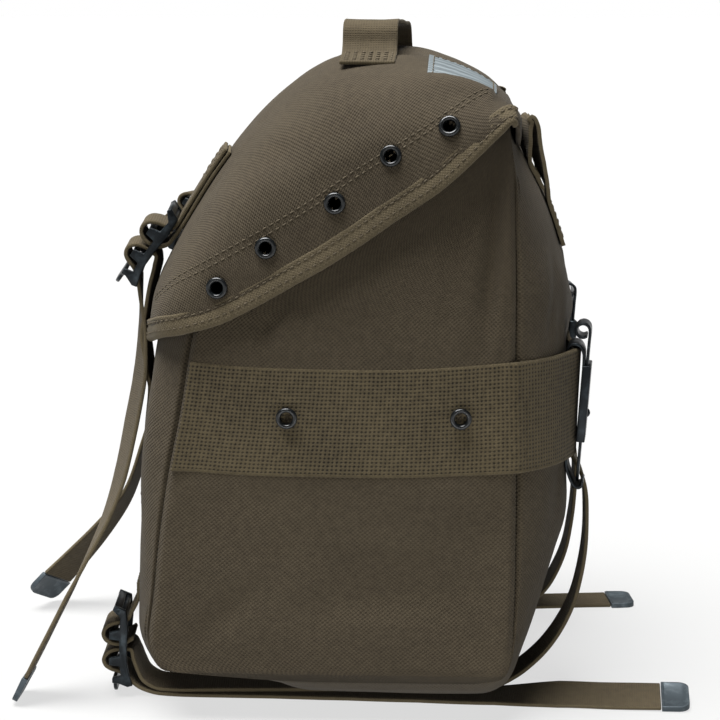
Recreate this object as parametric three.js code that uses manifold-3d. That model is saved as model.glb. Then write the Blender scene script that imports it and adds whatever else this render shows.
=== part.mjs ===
// A stuffed canvas belt bag, standing, with a strapped lid and two belt clips. Millimetres.
// X runs across the bag, Y from its front to the back that lies against the wearer, Z up.
// The origin is the middle of the flat under its belly. "right" is +X and "left" is -X.
import * as THREE from "three";
import { mergeVertices } from "three/addons/utils/BufferGeometryUtils.js";
import Module from "manifold-3d";

const wasm = await Module();
wasm.setup();

// Cloth and webbing
const CANVAS = 2;
const WEBBING = 1.8;
const STRAP_WIDTH = 25.4;
const SEWN_GAP = 0.35;
const LAYER = WEBBING + SEWN_GAP;
const EASE = 0.3;
const FIRST_LAYER = SEWN_GAP + WEBBING / 2 + EASE;

// Body
const HALF_WIDTH = 124;
const SEAM_INSET = 2.3;
const PANEL_RINGS = [1, 0.78, 0.5, 0.22];
const PANEL = { half_width: 123.4, bulge: 5.6, mid_y: -6, mid_z: 118, reach_y: 84, reach_z: 106 };
const WRAP_COLUMNS = [0.3, 0.4, 0.58, 0.71, 0.82, 0.92, 1];
const WRAP_PARTS = { front_rows: 8, back_from: 12 };

// Wide webbing band round the sides and the back
const BAND = { low: 118.5, high: 169, thickness: 2.2, front_margin: 4 };
const BAND_GAP = { side: 0.5, back: 3, turn: 30, back_from: 80 };
const BAND_SIDE_SHARES = [0, 0.16, 0.34, 0.52, 0.7, 0.86, 0.97];
const BAND_BACK_X = [HALF_WIDTH, 120.5, 114, 104, 91, 74, 50];

// Lid binding and eyelets
const BINDING = { width: 9, thickness: 0.9, gap: 0.5, first_station: 2.6 };
const EYELET = { outer: 4.9, hole: 2.7, barrel: 3.1, rise: 1.2, depth: 2.1, gap: 0.6, sides: 10 };
const EYELET_CUT = { radius: 3.5, length: 14 };

// Label window, handle and suspender loops
const WINDOW = { near: 104, far: 50, first_station: 2.3, last_station: 4.6, thickness: 0.7, gap: 0.6 };
const WINDOW_ROWS = [0, 0.25, 0.5, 0.75, 1];
const WINDOW_COLUMNS = [0, 0.35, 0.65, 1];
const HANDLE = { end: 88, foot: 72, flat: 6, rise: 1, top: 318.8, y: 7.5, lean: 2.5 };
const LOOP_X = 62;

// Straps and buckles
const STRAP_X = 73;
const FRONT_YAW = 4.5;
const TIP = { length: 13, width: 26, thickness: 2.6, corner: 5 };
const RAIL = { inside: 13.4, thickness: 2.4 };
const LID_BUCKLE = { y: -83, z: 228.5, along_y: -0.584, along_z: -0.812, roll: 4.8 };
const BASE_BUCKLE = { y: -109.5, z: 42, along_y: 0, along_z: -1, roll: 3.5 };
const LID_TAB_STATIONS = [9.05, 9.4, 9.75];
const FRONT_SEWN_HEIGHTS = [94, 112, 132, 150];
const BASE_SEWN_HEIGHTS = [56, 48];

// Belt clips: a hooked leg behind the band with a fixed sleeve, and a flat bar that slides in it
const KEEPER = { x: 74, yaw: 5.2, tilt: 4, strip: 1.2, strip_width: 18, mid_z: 143.8, sleeve_at: 7 };
const SLEEVE = { inner: 1.1, cavity: 1.9, outer: 1.1, width: 20, slot: 15.6, low: -18.5, high: 17.5 };
const DIMPLE = { radius: 2.4, sunk: 1.1, below: 6 };
const BAR = { thickness: 1.3, width: 15, low: -38.6, high: 33.5, straight: 8 };
const RING = { radius: 3.2, step: 31, turns: 10 };

// A table: its column names, then one list of numbers for each row.
function table(names, ...rows) {
  const columns = names.split(" ");
  return rows.map((row) => Object.fromEntries(row.map((value, i) => [columns[i], value])));
}

// The wrap, a section in each row: from the front rim down the front, under the belly and up the back.
// A section bows from the side seams to its middle, and under the belly it lies on the straps.
const WRAP = table(
  "seam_y seam_z middle_y middle_z half_width fullness belly",
  [-69.5, 190, -90, 190, 120.5, 5, 0],
  [-73.5, 175, -93.6, 175, 124, 5, 0],
  [-77.5, 145, -96, 145, 124, 5, 0],
  [-81.5, 115, -98.5, 115, 124, 5, 0],
  [-85.5, 85, -101, 85, 124, 5, 0],
  [-88.5, 60, -103.5, 60, 124, 5, 0],
  [-91.5, 41, -104.8, 39, 124, 5, 0],
  [-89.5, 31, -100.5, 24, 124, 5, 0],
  [-83.5, 25, -90.5, 13, 124, 4, 0.5],
  [-64, 21.5, -76, 4.5, 124, 4, 1],
  [-12, 20, -12, 0, 124, 4, 1],
  [56, 20.5, 58, 0, 124, 4, 1],
  [68, 22.5, 70, 6.5, 124, 4, 0.5],
  [72.5, 32, 79.5, 22, 124, 4, 0],
  [73.5, 48, 89, 48, 124, 5, 0],
  [74, 73, 97, 73, 124, 6, 0],
  [74, 95, 101, 95, 124, 6, 0],
  [74, 116, 99, 116, 124, 6, 0],
  [73.5, 144, 98.5, 144, 124, 6, 0],
  [73, 172, 98.5, 172, 124, 6, 0],
  [73, 196, 99.5, 196, 124, 6, 0],
  [72.5, 222, 93.5, 222, 124, 5, 0],
  [72, 241, 86, 241, 124, 5, 0],
  [71.3, 255, 78.5, 255, 123.5, 4, 0],
  [70.2, 265, 72.8, 265, 123, 4, 0],
  [69, 274, 69.8, 274, 122.5, 4, 0],
);

// How high the belly lies above the floor, as a share of its rise to the side seams.
const BELLY = table(
  "across share",
  [0, 0],
  [37.2, 0],
  [49.6, 0.26],
  [88, 0.28],
  [101.7, 0.42],
  [114, 0.7],
  [124, 1],
);

// Soft hollows in the side panels.
const SIDE_DENTS = table(
  "y z reach_y reach_z depth",
  [55, 222, 17, 42, 2.6],
  [-30, 196, 26, 22, 1.6],
  [20, 66, 40, 18, 1.2],
);

// The lid, a section in each row: from the back hem over the crest and down the front.
// A section bows from one free edge to the other over its crest.
const LID = table(
  "crest_y crest_z edge_x edge_y edge_z fullness",
  [75.8, 265.5, 126.5, 73.4, 266.5, 4],
  [75.2, 274, 128.5, 72, 271, 4],
  [69.5, 283, 129.5, 68.5, 274.5, 3.8],
  [58, 293, 130.4, 55.5, 262, 3.6],
  [42, 301, 130.6, 40, 247.5, 3.5],
  [22, 305.8, 130.6, 21, 234.5, 3.5],
  [-6, 303.5, 130.6, 3, 222, 3.5],
  [-22, 297, 130.6, -11, 213, 3.5],
  [-38, 285, 130.6, -26, 204.5, 3.4],
  [-58, 264, 130.6, -42, 195.5, 3.4],
  [-75.5, 237, 130.2, -58, 187.5, 3.4],
  [-88, 214.5, 128.8, -74, 182.5, 3.1],
  [-94.8, 198, 118.5, -87, 179, 2.8],
  [-98.6, 172.5, 93, -94.6, 174, 2.6],
);
const LID_STATIONS = [0, 1, 2, 2.6, 3.3, 4, 5, 6, 6.5, 7, 8, 9, 10, 10.5, 11, 11.5, 12, 12.5, 13];
const LID_COLUMNS = [0, 0.055, 0.14, 0.24, 0.33, 0.41, 0.51, 0.64, 0.82, 1];
const CREST_SEARCH = { stations: [2, 9], halvings: 30 };
const FLAP_SEARCH = { first: 2, last: 13, step: 0.02, highest: 0.8 };

// Eyelets on the lid's side flap and on the band.
const LID_EYELETS = table("y z", [42.9, 273.6], [17.2, 260.9], [-7.3, 240.2], [-37.9, 220.3], [-59.8, 202.4]);
const BAND_EYELETS = table("y z", [-29, 144.2], [48.6, 144.2]);

// Routes of the straps' free ends, from the buckle to the tip.
const FRONT_FREE_RIGHT = table(
  "x y z",
  [73, -104.4, 190],
  [74, -104.6, 176],
  [76, -105.6, 154],
  [79, -108, 131],
  [82, -112, 107],
  [85, -118, 88],
  [87, -126, 71],
  [89, -136, 51],
  [91, -145.5, 32],
  [92, -155, 13.5],
);
const FRONT_FREE_LEFT = table(
  "x y z roll",
  [73, -104.4, 190, 0],
  [73.4, -105.8, 172, 0],
  [74, -110, 145, 2],
  [74.4, -116.5, 112, 6],
  [74.3, -123, 90, 12],
  [74, -129.5, 70, 18],
  [73.6, -135.5, 58.5, 24],
  [73, -147.6, 42.8, 33],
  [72.3, -160.5, 28.3, 40],
  [71.6, -172, 16.3, 44],
);
const BASE_FREE_RIGHT = table(
  "x y z roll",
  [73, -104, 4.4, 0],
  [73, -97.5, 1.9, 0],
  [73.4, -90, 1.1, 0],
  [75, -40, 1, 0],
  [77.5, 20, 1, 0],
  [80, 66, 1, 0],
  [83, 96, 3, 9],
  [84.5, 120, 3.1, 9],
  [86, 144, 3.5, 9],
);
const BASE_FREE_LEFT = table(
  "x y z roll",
  [73, -104, 4.4, 0],
  [73, -97.5, 1.9, 0],
  [73.4, -90, 1.1, 0],
  [75, -40, 1, 0],
  [78.5, 20, 1, 0],
  [84.5, 66, 1, 0],
  [90, 96, 1, 0],
  [93, 131, 1.4, 0],
);

// The standing part of a bottom strap: from the back, bowed out, then under the belly to the buckle.
const BASE_TOP = table(
  "x y z",
  [50, 99.95, 133],
  [50, 100, 124],
  [50.2, 100.5, 117],
  [50.5, 103.4, 111.5],
  [50.8, 106.6, 105],
);
const BASE_BOW_RIGHT = table(
  "x y z",
  [51.2, 108.6, 97],
  [51.7, 109.3, 85],
  [52.6, 108.9, 70],
  [54, 106.8, 56],
  [56, 103, 42.5],
  [58.5, 97, 30.5],
  [60.6, 90, 21],
  [62.2, 82.2, 13.6],
  [63.3, 74.6, 8.3],
);
const BASE_BOW_LEFT = table(
  "x y z",
  [51.2, 108.6, 97],
  [51.7, 109.4, 84],
  [52.6, 108.6, 68],
  [54, 107.3, 56],
  [56, 104.9, 42],
  [58.5, 100.6, 29.5],
  [60.6, 94.6, 18.6],
  [62.2, 86.4, 10.6],
  [63.3, 76, 5.7],
);
const BASE_UNDER = table(
  "x y z",
  [64, 64, 3.9],
  [65, 48, 3.4],
  [68, -10, 3.4],
  [71.5, -72, 3.4],
  [72.4, -88, 3.6],
  [73, -96.6, 5],
  [73, -102.2, 8.6],
  [73, -104.7, 13.2],
  [73, -106.6, 18],
);

// The strap's way over the lid's front edge.
const OVER_LID = table(
  "y z",
  [-95.6, 158],
  [-99.9, 167],
  [-101.3, 175],
  [-99.6, 187],
  [-96.6, 198],
  [-94, 207.5],
);

// The handle's bow between its feet, below its top.
const HANDLE_BOW = table(
  "x drop",
  [67.5, 10],
  [65, 3.5],
  [60, 0.6],
  [30, 0],
  [-20, 1],
  [-56, 2.4],
  [-64, 6],
  [-69, 11.5],
);

// A suspender loop: its outer layer on the back, its free top and its inner layer.
const LOOP_OUTER = table("z layers", [216, 0], [226, 0.15], [236, 0.9], [245, 1.15]);
const LOOP_TOP = table(
  "y z",
  [86.2, 254],
  [84.6, 264],
  [83.4, 271],
  [80.3, 274.8],
  [77.4, 271],
  [77.8, 263],
);
const LOOP_INNER = table("z layers", [253, 0.1], [246, 0], [240, 0]);

// Where the webbing lies on a buckle: along it from its top, and out from its back.
const TAB_LOOP = table(
  "along out",
  [4.3, 0.1],
  [5.6, 3.6],
  [6.6, 7.4],
  [8.6, 10.7],
  [11.4, 11.9],
  [14.3, 10.8],
  [16.1, 7.8],
  [16.4, 4],
  [15.2, 0.4],
);
const STRAP_LOOP = table(
  "along out",
  [19.6, -1.2],
  [19.3, 2.4],
  [19.4, 6.4],
  [20.9, 9.9],
  [23.9, 11.9],
  [27, 10.9],
  [28.9, 8],
  [29.9, 4.7],
  [31.6, 1.8],
  [34.2, -0.8],
);

// One side rail of a buckle, seen from its edge: the lip, two raised lugs and the root of the tongue.
const RAIL_OUTLINE = table(
  "along out",
  [-0.8, 0.4],
  [9, -0.2],
  [17, 0.6],
  [25, 0.7],
  [31, -0.3],
  [36.2, -1.9],
  [36.8, 0.6],
  [34.8, 5.4],
  [34.8, 7.8],
  [32.2, 7.8],
  [31.2, 3.6],
  [26.6, 4.2],
  [25.9, 9.2],
  [22.3, 9.2],
  [21.4, 4.3],
  [14, 4.1],
  [13.2, 8.9],
  [9.6, 8.9],
  [8.6, 4],
  [2.8, 3.4],
  [-1, 7],
  [-3.2, 6],
);
const BUCKLE_BARS = table("along out radius", [0.9, 2, 1.5], [11.4, 7.2, 1.6], [24.1, 7.5, 1.6]);
const BAR_SIDES = 8;
const TONGUE = { from: 32.4, to: 41, low: 6, high: 7.8, root: 15.6, tip: 9 };
const TONGUE_ENDS = { shoulder: 2.2, nose: 2, nose_inset: 3 };

// A tab's way into a buckle and out of it, past its loop.
const LID_TAB_IN = table("along out", [-3.2, -0.2], [0.8, -0.6]);
const LID_TAB_OUT = table("along out", [12, -2.2], [7, -2.75], [0.8, -2.75]);
const BASE_TAB_IN = { along: 0.6, out: -1.8 };
const BASE_TAB_OUT = { along: 13.6, out: -2.2 };

// The bent leg of a belt clip, from behind its sleeve over the top and down to the lower curl.
const KEEPER_LEG = table(
  "out up",
  [6.9, 134],
  [8.1, 152],
  [8.75, 163],
  [8.5, 167.4],
  [6.5, 170.6],
  [3.2, 170.9],
  [1.3, 168.2],
  [1.2, 160],
  [1.2, 120],
  [1.5, 113],
  [2.8, 108.6],
  [4.8, 104.5],
  [7, 103.2],
  [8.6, 104.1],
  [9, 106.2],
);

const linear = (rows, key, name, at) => {
  const last = rows.length - 2;
  const found = rows.findIndex((row, i) => i > 0 && at <= row[key]) - 1;
  const i = found < 0 ? last : found;
  const share = (at - rows[i][key]) / (rows[i + 1][key] - rows[i][key]);
  return THREE.MathUtils.lerp(rows[i][name], rows[i + 1][name], share);
};

const vector = (x, y, z) => new THREE.Vector3(x, y, z);

// A closed mesh of the given points and triangles, turned so that its faces point out.
function geometry(points, triangles) {
  let volume = 0;
  for (let i = 0; i < triangles.length; i += 3) {
    const [a, b, c] = [0, 1, 2].map((k) => points[triangles[i + k]]);
    volume += a.dot(b.clone().cross(c));
  }
  const index = volume < 0 ? triangles.toReversed() : triangles;
  const made = new THREE.BufferGeometry();
  made.setAttribute("position", new THREE.Float32BufferAttribute(points.flatMap((p) => p.toArray()), 3));
  made.setIndex(index);
  return made;
}

function solidOf(source) {
  const plain = source.clone();
  plain.deleteAttribute("normal");
  plain.deleteAttribute("uv");
  const merged = mergeVertices(plain, 1e-4);
  return new wasm.Manifold(
    new wasm.Mesh({
      numProp: 3,
      vertProperties: new Float32Array(merged.attributes.position.array),
      triVerts: new Uint32Array(merged.index.array),
    }),
  );
}

function geometryOf(solid) {
  const mesh = solid.getMesh();
  const made = new THREE.BufferGeometry();
  made.setAttribute("position", new THREE.BufferAttribute(mesh.vertProperties, 3));
  made.setIndex(new THREE.BufferAttribute(mesh.triVerts, 1));
  return made;
}

const joined = (...pieces) => geometryOf(pieces.map(solidOf).reduce((sum, next) => sum.add(next)));
const cutBy = (piece, ...tools) =>
  geometryOf(tools.map(solidOf).reduce((left, tool) => left.subtract(tool), solidOf(piece)));

// A closed wall between outer and inner points. Each face lists the outer points round it.
function wall(outer, inner, faces) {
  const count = outer.length;
  const triangles = [];
  const rim = new Map();
  for (const face of faces) {
    for (let k = 1; k + 1 < face.length; k += 1) {
      triangles.push(face[0], face[k], face[k + 1]);
      triangles.push(count + face[0], count + face[k + 1], count + face[k]);
    }
    face.forEach((from, k) => {
      const to = face[(k + 1) % face.length];
      if (!rim.delete(`${to} ${from}`)) rim.set(`${from} ${to}`, [from, to]);
    });
  }
  for (const [from, to] of rim.values()) {
    triangles.push(from, count + from, to, to, count + from, count + to);
  }
  return geometry([...outer, ...inner], triangles);
}

function gridFaces(grid) {
  const width = grid[0].length;
  const faces = [];
  for (let r = 0; r + 1 < grid.length; r += 1) {
    for (let c = 0; c + 1 < width; c += 1) {
      faces.push([r * width + c, (r + 1) * width + c, (r + 1) * width + c + 1, r * width + c + 1]);
    }
  }
  return faces;
}

// The grid's points moved along its surface normal, by one distance or by one for each column.
// A point's normal is the mean of the cells round it, and a bend keeps the wall's thickness.
function offsetGrid(grid, distance) {
  const cellNormal = (r, c) => {
    const [a, b, d, e] = [grid[r]?.[c], grid[r + 1]?.[c], grid[r]?.[c + 1], grid[r + 1]?.[c + 1]];
    return a && b && d && e ? e.clone().sub(a).cross(d.clone().sub(b)).normalize() : undefined;
  };
  return grid.map((row, r) =>
    row.map((point, c) => {
      const cells = [cellNormal(r - 1, c - 1), cellNormal(r - 1, c), cellNormal(r, c - 1), cellNormal(r, c)];
      const round = cells.filter((normal) => normal);
      const normal = round.reduce((sum, next) => sum.add(next), vector(0, 0, 0)).normalize();
      const miter = round.reduce((sum, next) => sum + normal.dot(next), 0) / round.length;
      const reach = typeof distance === "number" ? distance : distance(c);
      return point.clone().addScaledVector(normal, reach / Math.max(0.8, miter));
    }),
  );
}

const gridWall = (outer, inner) => wall(outer.flat(), inner.flat(), gridFaces(outer));

// A solid through closed sections of equal length. The flat outline gives the triangles of its two ends.
function loft(sections, outline) {
  const size = outline.length;
  const points = sections.flat();
  const triangles = [];
  for (let s = 0; s + 1 < sections.length; s += 1) {
    for (let k = 0; k < size; k += 1) {
      const [a, b] = [s * size + k, s * size + ((k + 1) % size)];
      triangles.push(a, b, b + size, a, b + size, a + size);
    }
  }
  const last = points.length - size;
  for (const [a, b, c] of THREE.ShapeUtils.triangulateShape(outline, [])) {
    triangles.push(a, c, b, last + a, last + b, last + c);
  }
  return geometry(points, triangles);
}

const flat = (pairs) => pairs.map(([x, y]) => new THREE.Vector2(x, y));

// Flat webbing along a route: each place has a point and the direction of the webbing's width.
function ribbon(places, width, thickness, steps = 2) {
  const route = new THREE.CatmullRomCurve3(places.map((place) => place.point));
  const outline = flat([[-1, -1], [1, -1], [1, 1], [-1, 1]]);
  const count = (places.length - 1) * steps;
  const sections = [];
  for (let i = 0; i <= count; i += 1) {
    const at = i / count;
    const low = Math.min(Math.floor(i / steps), places.length - 2);
    const tangent = route.getTangent(at);
    const across = places[low].across.clone().lerp(places[low + 1].across, i / steps - low);
    across.addScaledVector(tangent, -across.dot(tangent)).normalize();
    const out = tangent.clone().cross(across);
    const centre = route.getPoint(at);
    sections.push(
      outline.map((corner) =>
        centre
          .clone()
          .addScaledVector(across, (corner.x * width) / 2)
          .addScaledVector(out, (corner.y * thickness) / 2),
      ),
    );
  }
  return loft(sections, outline);
}

// A place on a route. Yaw turns the webbing's width towards the back, roll lifts its inner edge.
function place(side, x, y, z, yaw = 0, roll = 0) {
  const turn = THREE.MathUtils.degToRad(yaw);
  const tip = THREE.MathUtils.degToRad(roll);
  const across = vector(Math.cos(turn) * Math.cos(tip), side * Math.sin(turn), -side * Math.sin(tip));
  return { point: vector(side * x, y, z), across };
}

const MATERIALS = {
  canvas: new THREE.MeshStandardMaterial({ color: 0x635a49, roughness: 0.95, metalness: 0 }),
  binding: new THREE.MeshStandardMaterial({ color: 0x5b523f, roughness: 0.95, metalness: 0 }),
  webbing: new THREE.MeshStandardMaterial({ color: 0x4a4331, roughness: 0.9, metalness: 0 }),
  hardware: new THREE.MeshStandardMaterial({ color: 0x23282b, roughness: 0.45, metalness: 0.8 }),
  tip: new THREE.MeshStandardMaterial({ color: 0x444b50, roughness: 0.5, metalness: 0.7 }),
  clear: new THREE.MeshStandardMaterial({ color: 0x98a2a6, roughness: 0.25, metalness: 0 }),
};

const bag = new THREE.Group();

function add(name, shape, material, parent = bag) {
  const mesh = new THREE.Mesh(shape, MATERIALS[material]);
  mesh.name = name;
  parent.add(mesh);
  return mesh;
}

const SIDES = [
  { name: "right", sign: 1 },
  { name: "left", sign: -1 },
];

// Body: the wrap and the two side panels
const mirroredShares = (shares) => [...shares.toReversed().map((share) => -share), ...shares];

function wrapPoint(section, q) {
  const bowed = 1 - Math.abs(q) ** section.fullness;
  const resting = 1 - linear(BELLY, "across", "share", Math.abs(q) * HALF_WIDTH);
  const share = THREE.MathUtils.lerp(bowed, resting, section.belly);
  const y = THREE.MathUtils.lerp(section.seam_y, section.middle_y, share);
  const z = THREE.MathUtils.lerp(section.seam_z, section.middle_z, share);
  return vector(section.half_width * q, y, z);
}

// Where the wrap's front or back lies at a place across the bag and at a height.
function wrapY(sections, x, z) {
  const at = (name) => linear(sections, "middle_z", name, z);
  const share = 1 - Math.abs(x / at("half_width")) ** at("fullness");
  return THREE.MathUtils.lerp(at("seam_y"), at("middle_y"), share);
}
const FRONT_SECTIONS = WRAP.slice(0, WRAP_PARTS.front_rows).toReversed();
const BACK_SECTIONS = WRAP.slice(WRAP_PARTS.back_from);
const frontY = (x, z) => wrapY(FRONT_SECTIONS, x, z);
const backY = (x, z) => wrapY(BACK_SECTIONS, x, z);

const wrapGrid = WRAP.map((section) => mirroredShares(WRAP_COLUMNS).map((q) => wrapPoint(section, q)));
add("body_wrap", gridWall(wrapGrid, offsetGrid(wrapGrid, -CANVAS)), "canvas");

function panelX(y, z) {
  const swell = (at, middle, reach) => Math.max(0, 1 - ((at - middle) / reach) ** 2);
  const full = swell(y, PANEL.mid_y, PANEL.reach_y) * swell(z, PANEL.mid_z, PANEL.reach_z);
  let x = PANEL.half_width + PANEL.bulge * full;
  for (const dent of SIDE_DENTS) {
    x -= dent.depth * swell(y, dent.y, dent.reach_y) * swell(z, dent.z, dent.reach_z);
  }
  return x;
}

// The side seams as one closed outline, moved in from the wrap's edge.
function panelOutline() {
  const seam = WRAP.map((section) => new THREE.Vector2(section.seam_y, section.seam_z));
  return seam.map((point, i) => {
    const before = seam.at(i - 1);
    const after = seam[(i + 1) % seam.length];
    const inward = (a, b) => new THREE.Vector2(a.y - b.y, b.x - a.x).normalize();
    const first = inward(before, point);
    const second = inward(point, after);
    const miter = first.clone().add(second).normalize();
    return point.clone().addScaledVector(miter, SEAM_INSET / miter.dot(first));
  });
}

function sidePanel(side) {
  const outline = panelOutline();
  const rings = PANEL_RINGS.flatMap((share) =>
    outline.map((point) => ({
      y: THREE.MathUtils.lerp(PANEL.mid_y, point.x, share),
      z: THREE.MathUtils.lerp(PANEL.mid_z, point.y, share),
    })),
  );
  rings.push({ y: PANEL.mid_y, z: PANEL.mid_z });
  const outer = rings.map(({ y, z }) => vector(side * panelX(y, z), y, z));
  const inner = rings.map(({ y, z }) => vector(side * (panelX(y, z) - CANVAS), y, z));
  const count = outline.length;
  const faces = [];
  for (let ring = 0; ring < PANEL_RINGS.length; ring += 1) {
    for (let i = 0; i < count; i += 1) {
      const next = (i + 1) % count;
      const [a, b] = [ring * count + i, ring * count + next];
      const innermost = ring === PANEL_RINGS.length - 1;
      faces.push(innermost ? [a, b, rings.length - 1] : [a, b, b + count, a + count]);
    }
  }
  return wall(outer, inner, faces);
}

for (const side of SIDES) {
  add(`side_panel_${side.name}`, sidePanel(side.sign), "canvas");
}

// Lid
function lidSection(station) {
  const i = Math.min(Math.floor(station), LID.length - 2);
  const share = station - i;
  const row = (k) => LID[THREE.MathUtils.clamp(k, 0, LID.length - 1)];
  const smooth = (name) => {
    const [a, b, c, d] = [-1, 0, 1, 2].map((step) => row(i + step)[name]);
    const [into, out] = [(c - a) / 2, (d - b) / 2];
    const step = c - b;
    return b + share * (into + share * (3 * step - 2 * into - out + share * (into + out - 2 * step)));
  };
  return Object.fromEntries(Object.keys(LID[0]).map((name) => [name, smooth(name)]));
}

// A point of the lid's outside, at a share of the way from its edge to its crest.
function lidPoint(section, side, share) {
  const across = (1 - share ** section.fullness) ** (1 / section.fullness);
  const y = THREE.MathUtils.lerp(section.edge_y, section.crest_y, share);
  const z = THREE.MathUtils.lerp(section.edge_z, section.crest_z, share);
  return vector(side * section.edge_x * across, y, z);
}

// The same, at a place across the bag.
function lidAt(station, x) {
  const section = lidSection(station);
  const across = Math.min(1, Math.abs(x) / section.edge_x);
  return lidPoint(section, Math.sign(x) || 1, (1 - across ** section.fullness) ** (1 / section.fullness));
}

function lidNormal(station, x) {
  const step = 0.05;
  const forward = lidAt(station + step, x).sub(lidAt(station - step, x));
  const across = lidAt(station, x + 1).sub(lidAt(station, x - 1));
  return forward.cross(across).normalize();
}

const lidOver = (station, x, height) => lidAt(station, x).addScaledVector(lidNormal(station, x), height);

// One row of the lid's grid: its columns are shares of the section's length, from each edge to the crest.
function lidRow(station) {
  const section = lidSection(station);
  const samples = 120;
  const bow = [];
  for (let i = 0; i <= samples; i += 1) {
    const share = Math.sin((i / samples) * (Math.PI / 2)) ** (2 / section.fullness);
    bow.push(lidPoint(section, 1, share));
  }
  const lengths = [0];
  for (let i = 1; i <= samples; i += 1) lengths.push(lengths[i - 1] + bow[i].distanceTo(bow[i - 1]));
  const half = LID_COLUMNS.map((share) => {
    const reach = share * lengths[samples];
    const i = Math.min(samples - 1, Math.max(0, lengths.findIndex((length) => length >= reach) - 1));
    return bow[i].clone().lerp(bow[i + 1], (reach - lengths[i]) / (lengths[i + 1] - lengths[i]));
  });
  const opposite = half.slice(0, -1).map((point) => vector(-point.x, point.y, point.z));
  return [...opposite, ...half.toReversed()];
}

const lidOuter = LID_STATIONS.map(lidRow);
const lidInner = offsetGrid(lidOuter, -CANVAS);

// The height of the lid at a place across the bag and a depth, found by halving.
function lidTop(x, y) {
  let [back, front] = CREST_SEARCH.stations;
  for (let i = 0; i < CREST_SEARCH.halvings; i += 1) {
    const middle = (back + front) / 2;
    if (lidAt(middle, x).y > y) back = middle;
    else front = middle;
  }
  return lidAt(back, x).z;
}

// The point and the outward direction of the lid's right flap at a depth and a height.
function flapSpot({ y, z }) {
  const at = (station, share) => lidPoint(lidSection(station), 1, share);
  let nearest = { distance: Infinity };
  const { first, last, step, highest } = FLAP_SEARCH;
  for (let station = first; station < last; station += step) {
    for (let share = step; share < highest; share += step) {
      const point = at(station, share);
      const distance = Math.hypot(point.y - y, point.z - z);
      if (distance < nearest.distance) nearest = { distance, station, share, point };
    }
  }
  const { station, share, point } = nearest;
  const forward = at(station + step, share).sub(at(station - step, share));
  const up = at(station, share + step).sub(at(station, share - step));
  return { point, out: up.cross(forward).normalize() };
}

// The transform that stands a piece's Y axis on a spot of the right side, or of the left by mirroring.
function standOn({ point, out }, side) {
  const axis = vector(side * out.x, out.y, out.z);
  const turn = new THREE.Quaternion().setFromUnitVectors(vector(0, 1, 0), axis);
  return new THREE.Matrix4().compose(vector(side * point.x, point.y, point.z), turn, vector(1, 1, 1));
}

function eyeletHole(spot, side) {
  const { radius, length } = EYELET_CUT;
  return new THREE.CylinderGeometry(radius, radius, length, EYELET.sides).applyMatrix4(standOn(spot, side));
}

function eyeletShape() {
  const profile = flat([
    [EYELET.hole, -EYELET.depth],
    [EYELET.barrel, -EYELET.depth],
    [EYELET.barrel, EYELET.gap],
    [EYELET.outer, EYELET.gap],
    [EYELET.hole, EYELET.gap + EYELET.rise],
    [EYELET.hole, -EYELET.depth],
  ]);
  return new THREE.LatheGeometry(profile, EYELET.sides);
}

const holesAt = (spots) => SIDES.flatMap((side) => spots.map((spot) => eyeletHole(spot, side.sign)));
const lidSpots = LID_EYELETS.map(flapSpot);
add("lid", cutBy(gridWall(lidOuter, lidInner), ...holesAt(lidSpots)), "canvas");

function addEyelets(prefix, spots) {
  for (const side of SIDES) {
    spots.forEach((spot, i) => {
      const eyelet = add(`${prefix}_${side.name}_${i + 1}`, eyeletShape(), "hardware");
      standOn(spot, side.sign).decompose(eyelet.position, eyelet.quaternion, eyelet.scale);
    });
  }
}
addEyelets("lid_eyelet", lidSpots);

// The tape folded round the lid's free edge, from one back corner round the front to the other.
function lidBinding() {
  const [near, far] = [BINDING.gap, BINDING.gap + BINDING.thickness];
  const outline = flat([
    [BINDING.width, near],
    [BINDING.width, far],
    [-far, far],
    [-far, -far],
    [BINDING.width, -far],
    [BINDING.width, -near],
    [-near, -near],
    [-near, near],
  ]);
  const first = LID_STATIONS.indexOf(BINDING.first_station);
  const last = LID_STATIONS.length - 1;
  const half = (lidOuter[0].length - 1) / 2;
  const way = (face, from, to) => face[to[0]][to[1]].clone().sub(face[from[0]][from[1]]);
  const edge = [];
  for (let r = first; r < last; r += 1) {
    edge.push({ r, c: 0, outer: way(lidOuter, [r, 0], [r, 1]), inner: way(lidInner, [r, 0], [r, 1]) });
  }
  for (let c = 0; c <= half; c += 1) {
    const up = lidAt(LID_STATIONS[last - 1], lidOuter[last][c].x).sub(lidOuter[last][c]);
    edge.push({ r: last, c, outer: up, inner: up });
  }
  const sectionOf = ({ r, c, outer, inner }) => {
    const out = lidOuter[r][c].clone().sub(lidInner[r][c]).normalize();
    return outline.map((p) => {
      const [corner, inward] = p.y > 0 ? [lidOuter[r][c], outer] : [lidInner[r][c], inner];
      const reach = Math.min(p.x, 0.9 * inward.length()) / inward.length();
      return corner.clone().addScaledVector(inward, reach).addScaledVector(out, p.y);
    });
  };
  const left = edge.map(sectionOf);
  const opposite = (point) => vector(-point.x, point.y, point.z);
  const right = left.slice(0, -1).map((section) => section.map(opposite));
  const sections = [...left, ...right.toReversed()];
  return loft(sections, outline);
}
const lidRoom = gridWall(offsetGrid(lidOuter, BINDING.gap / 2), offsetGrid(lidInner, -BINDING.gap / 2));
add("lid_binding", cutBy(lidBinding(), lidRoom), "binding");

function labelWindow() {
  const { lerp } = THREE.MathUtils;
  const rows = WINDOW_ROWS.map((share) => lerp(WINDOW.first_station, WINDOW.last_station, share));
  const columns = WINDOW_COLUMNS.map((share) => lerp(WINDOW.far, WINDOW.near, share));
  const over = (height) => rows.map((station) => columns.map((x) => lidOver(station, x, height)));
  return gridWall(over(WINDOW.gap + WINDOW.thickness), over(WINDOW.gap));
}
add("label_window", labelWindow(), "clear");

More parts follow.
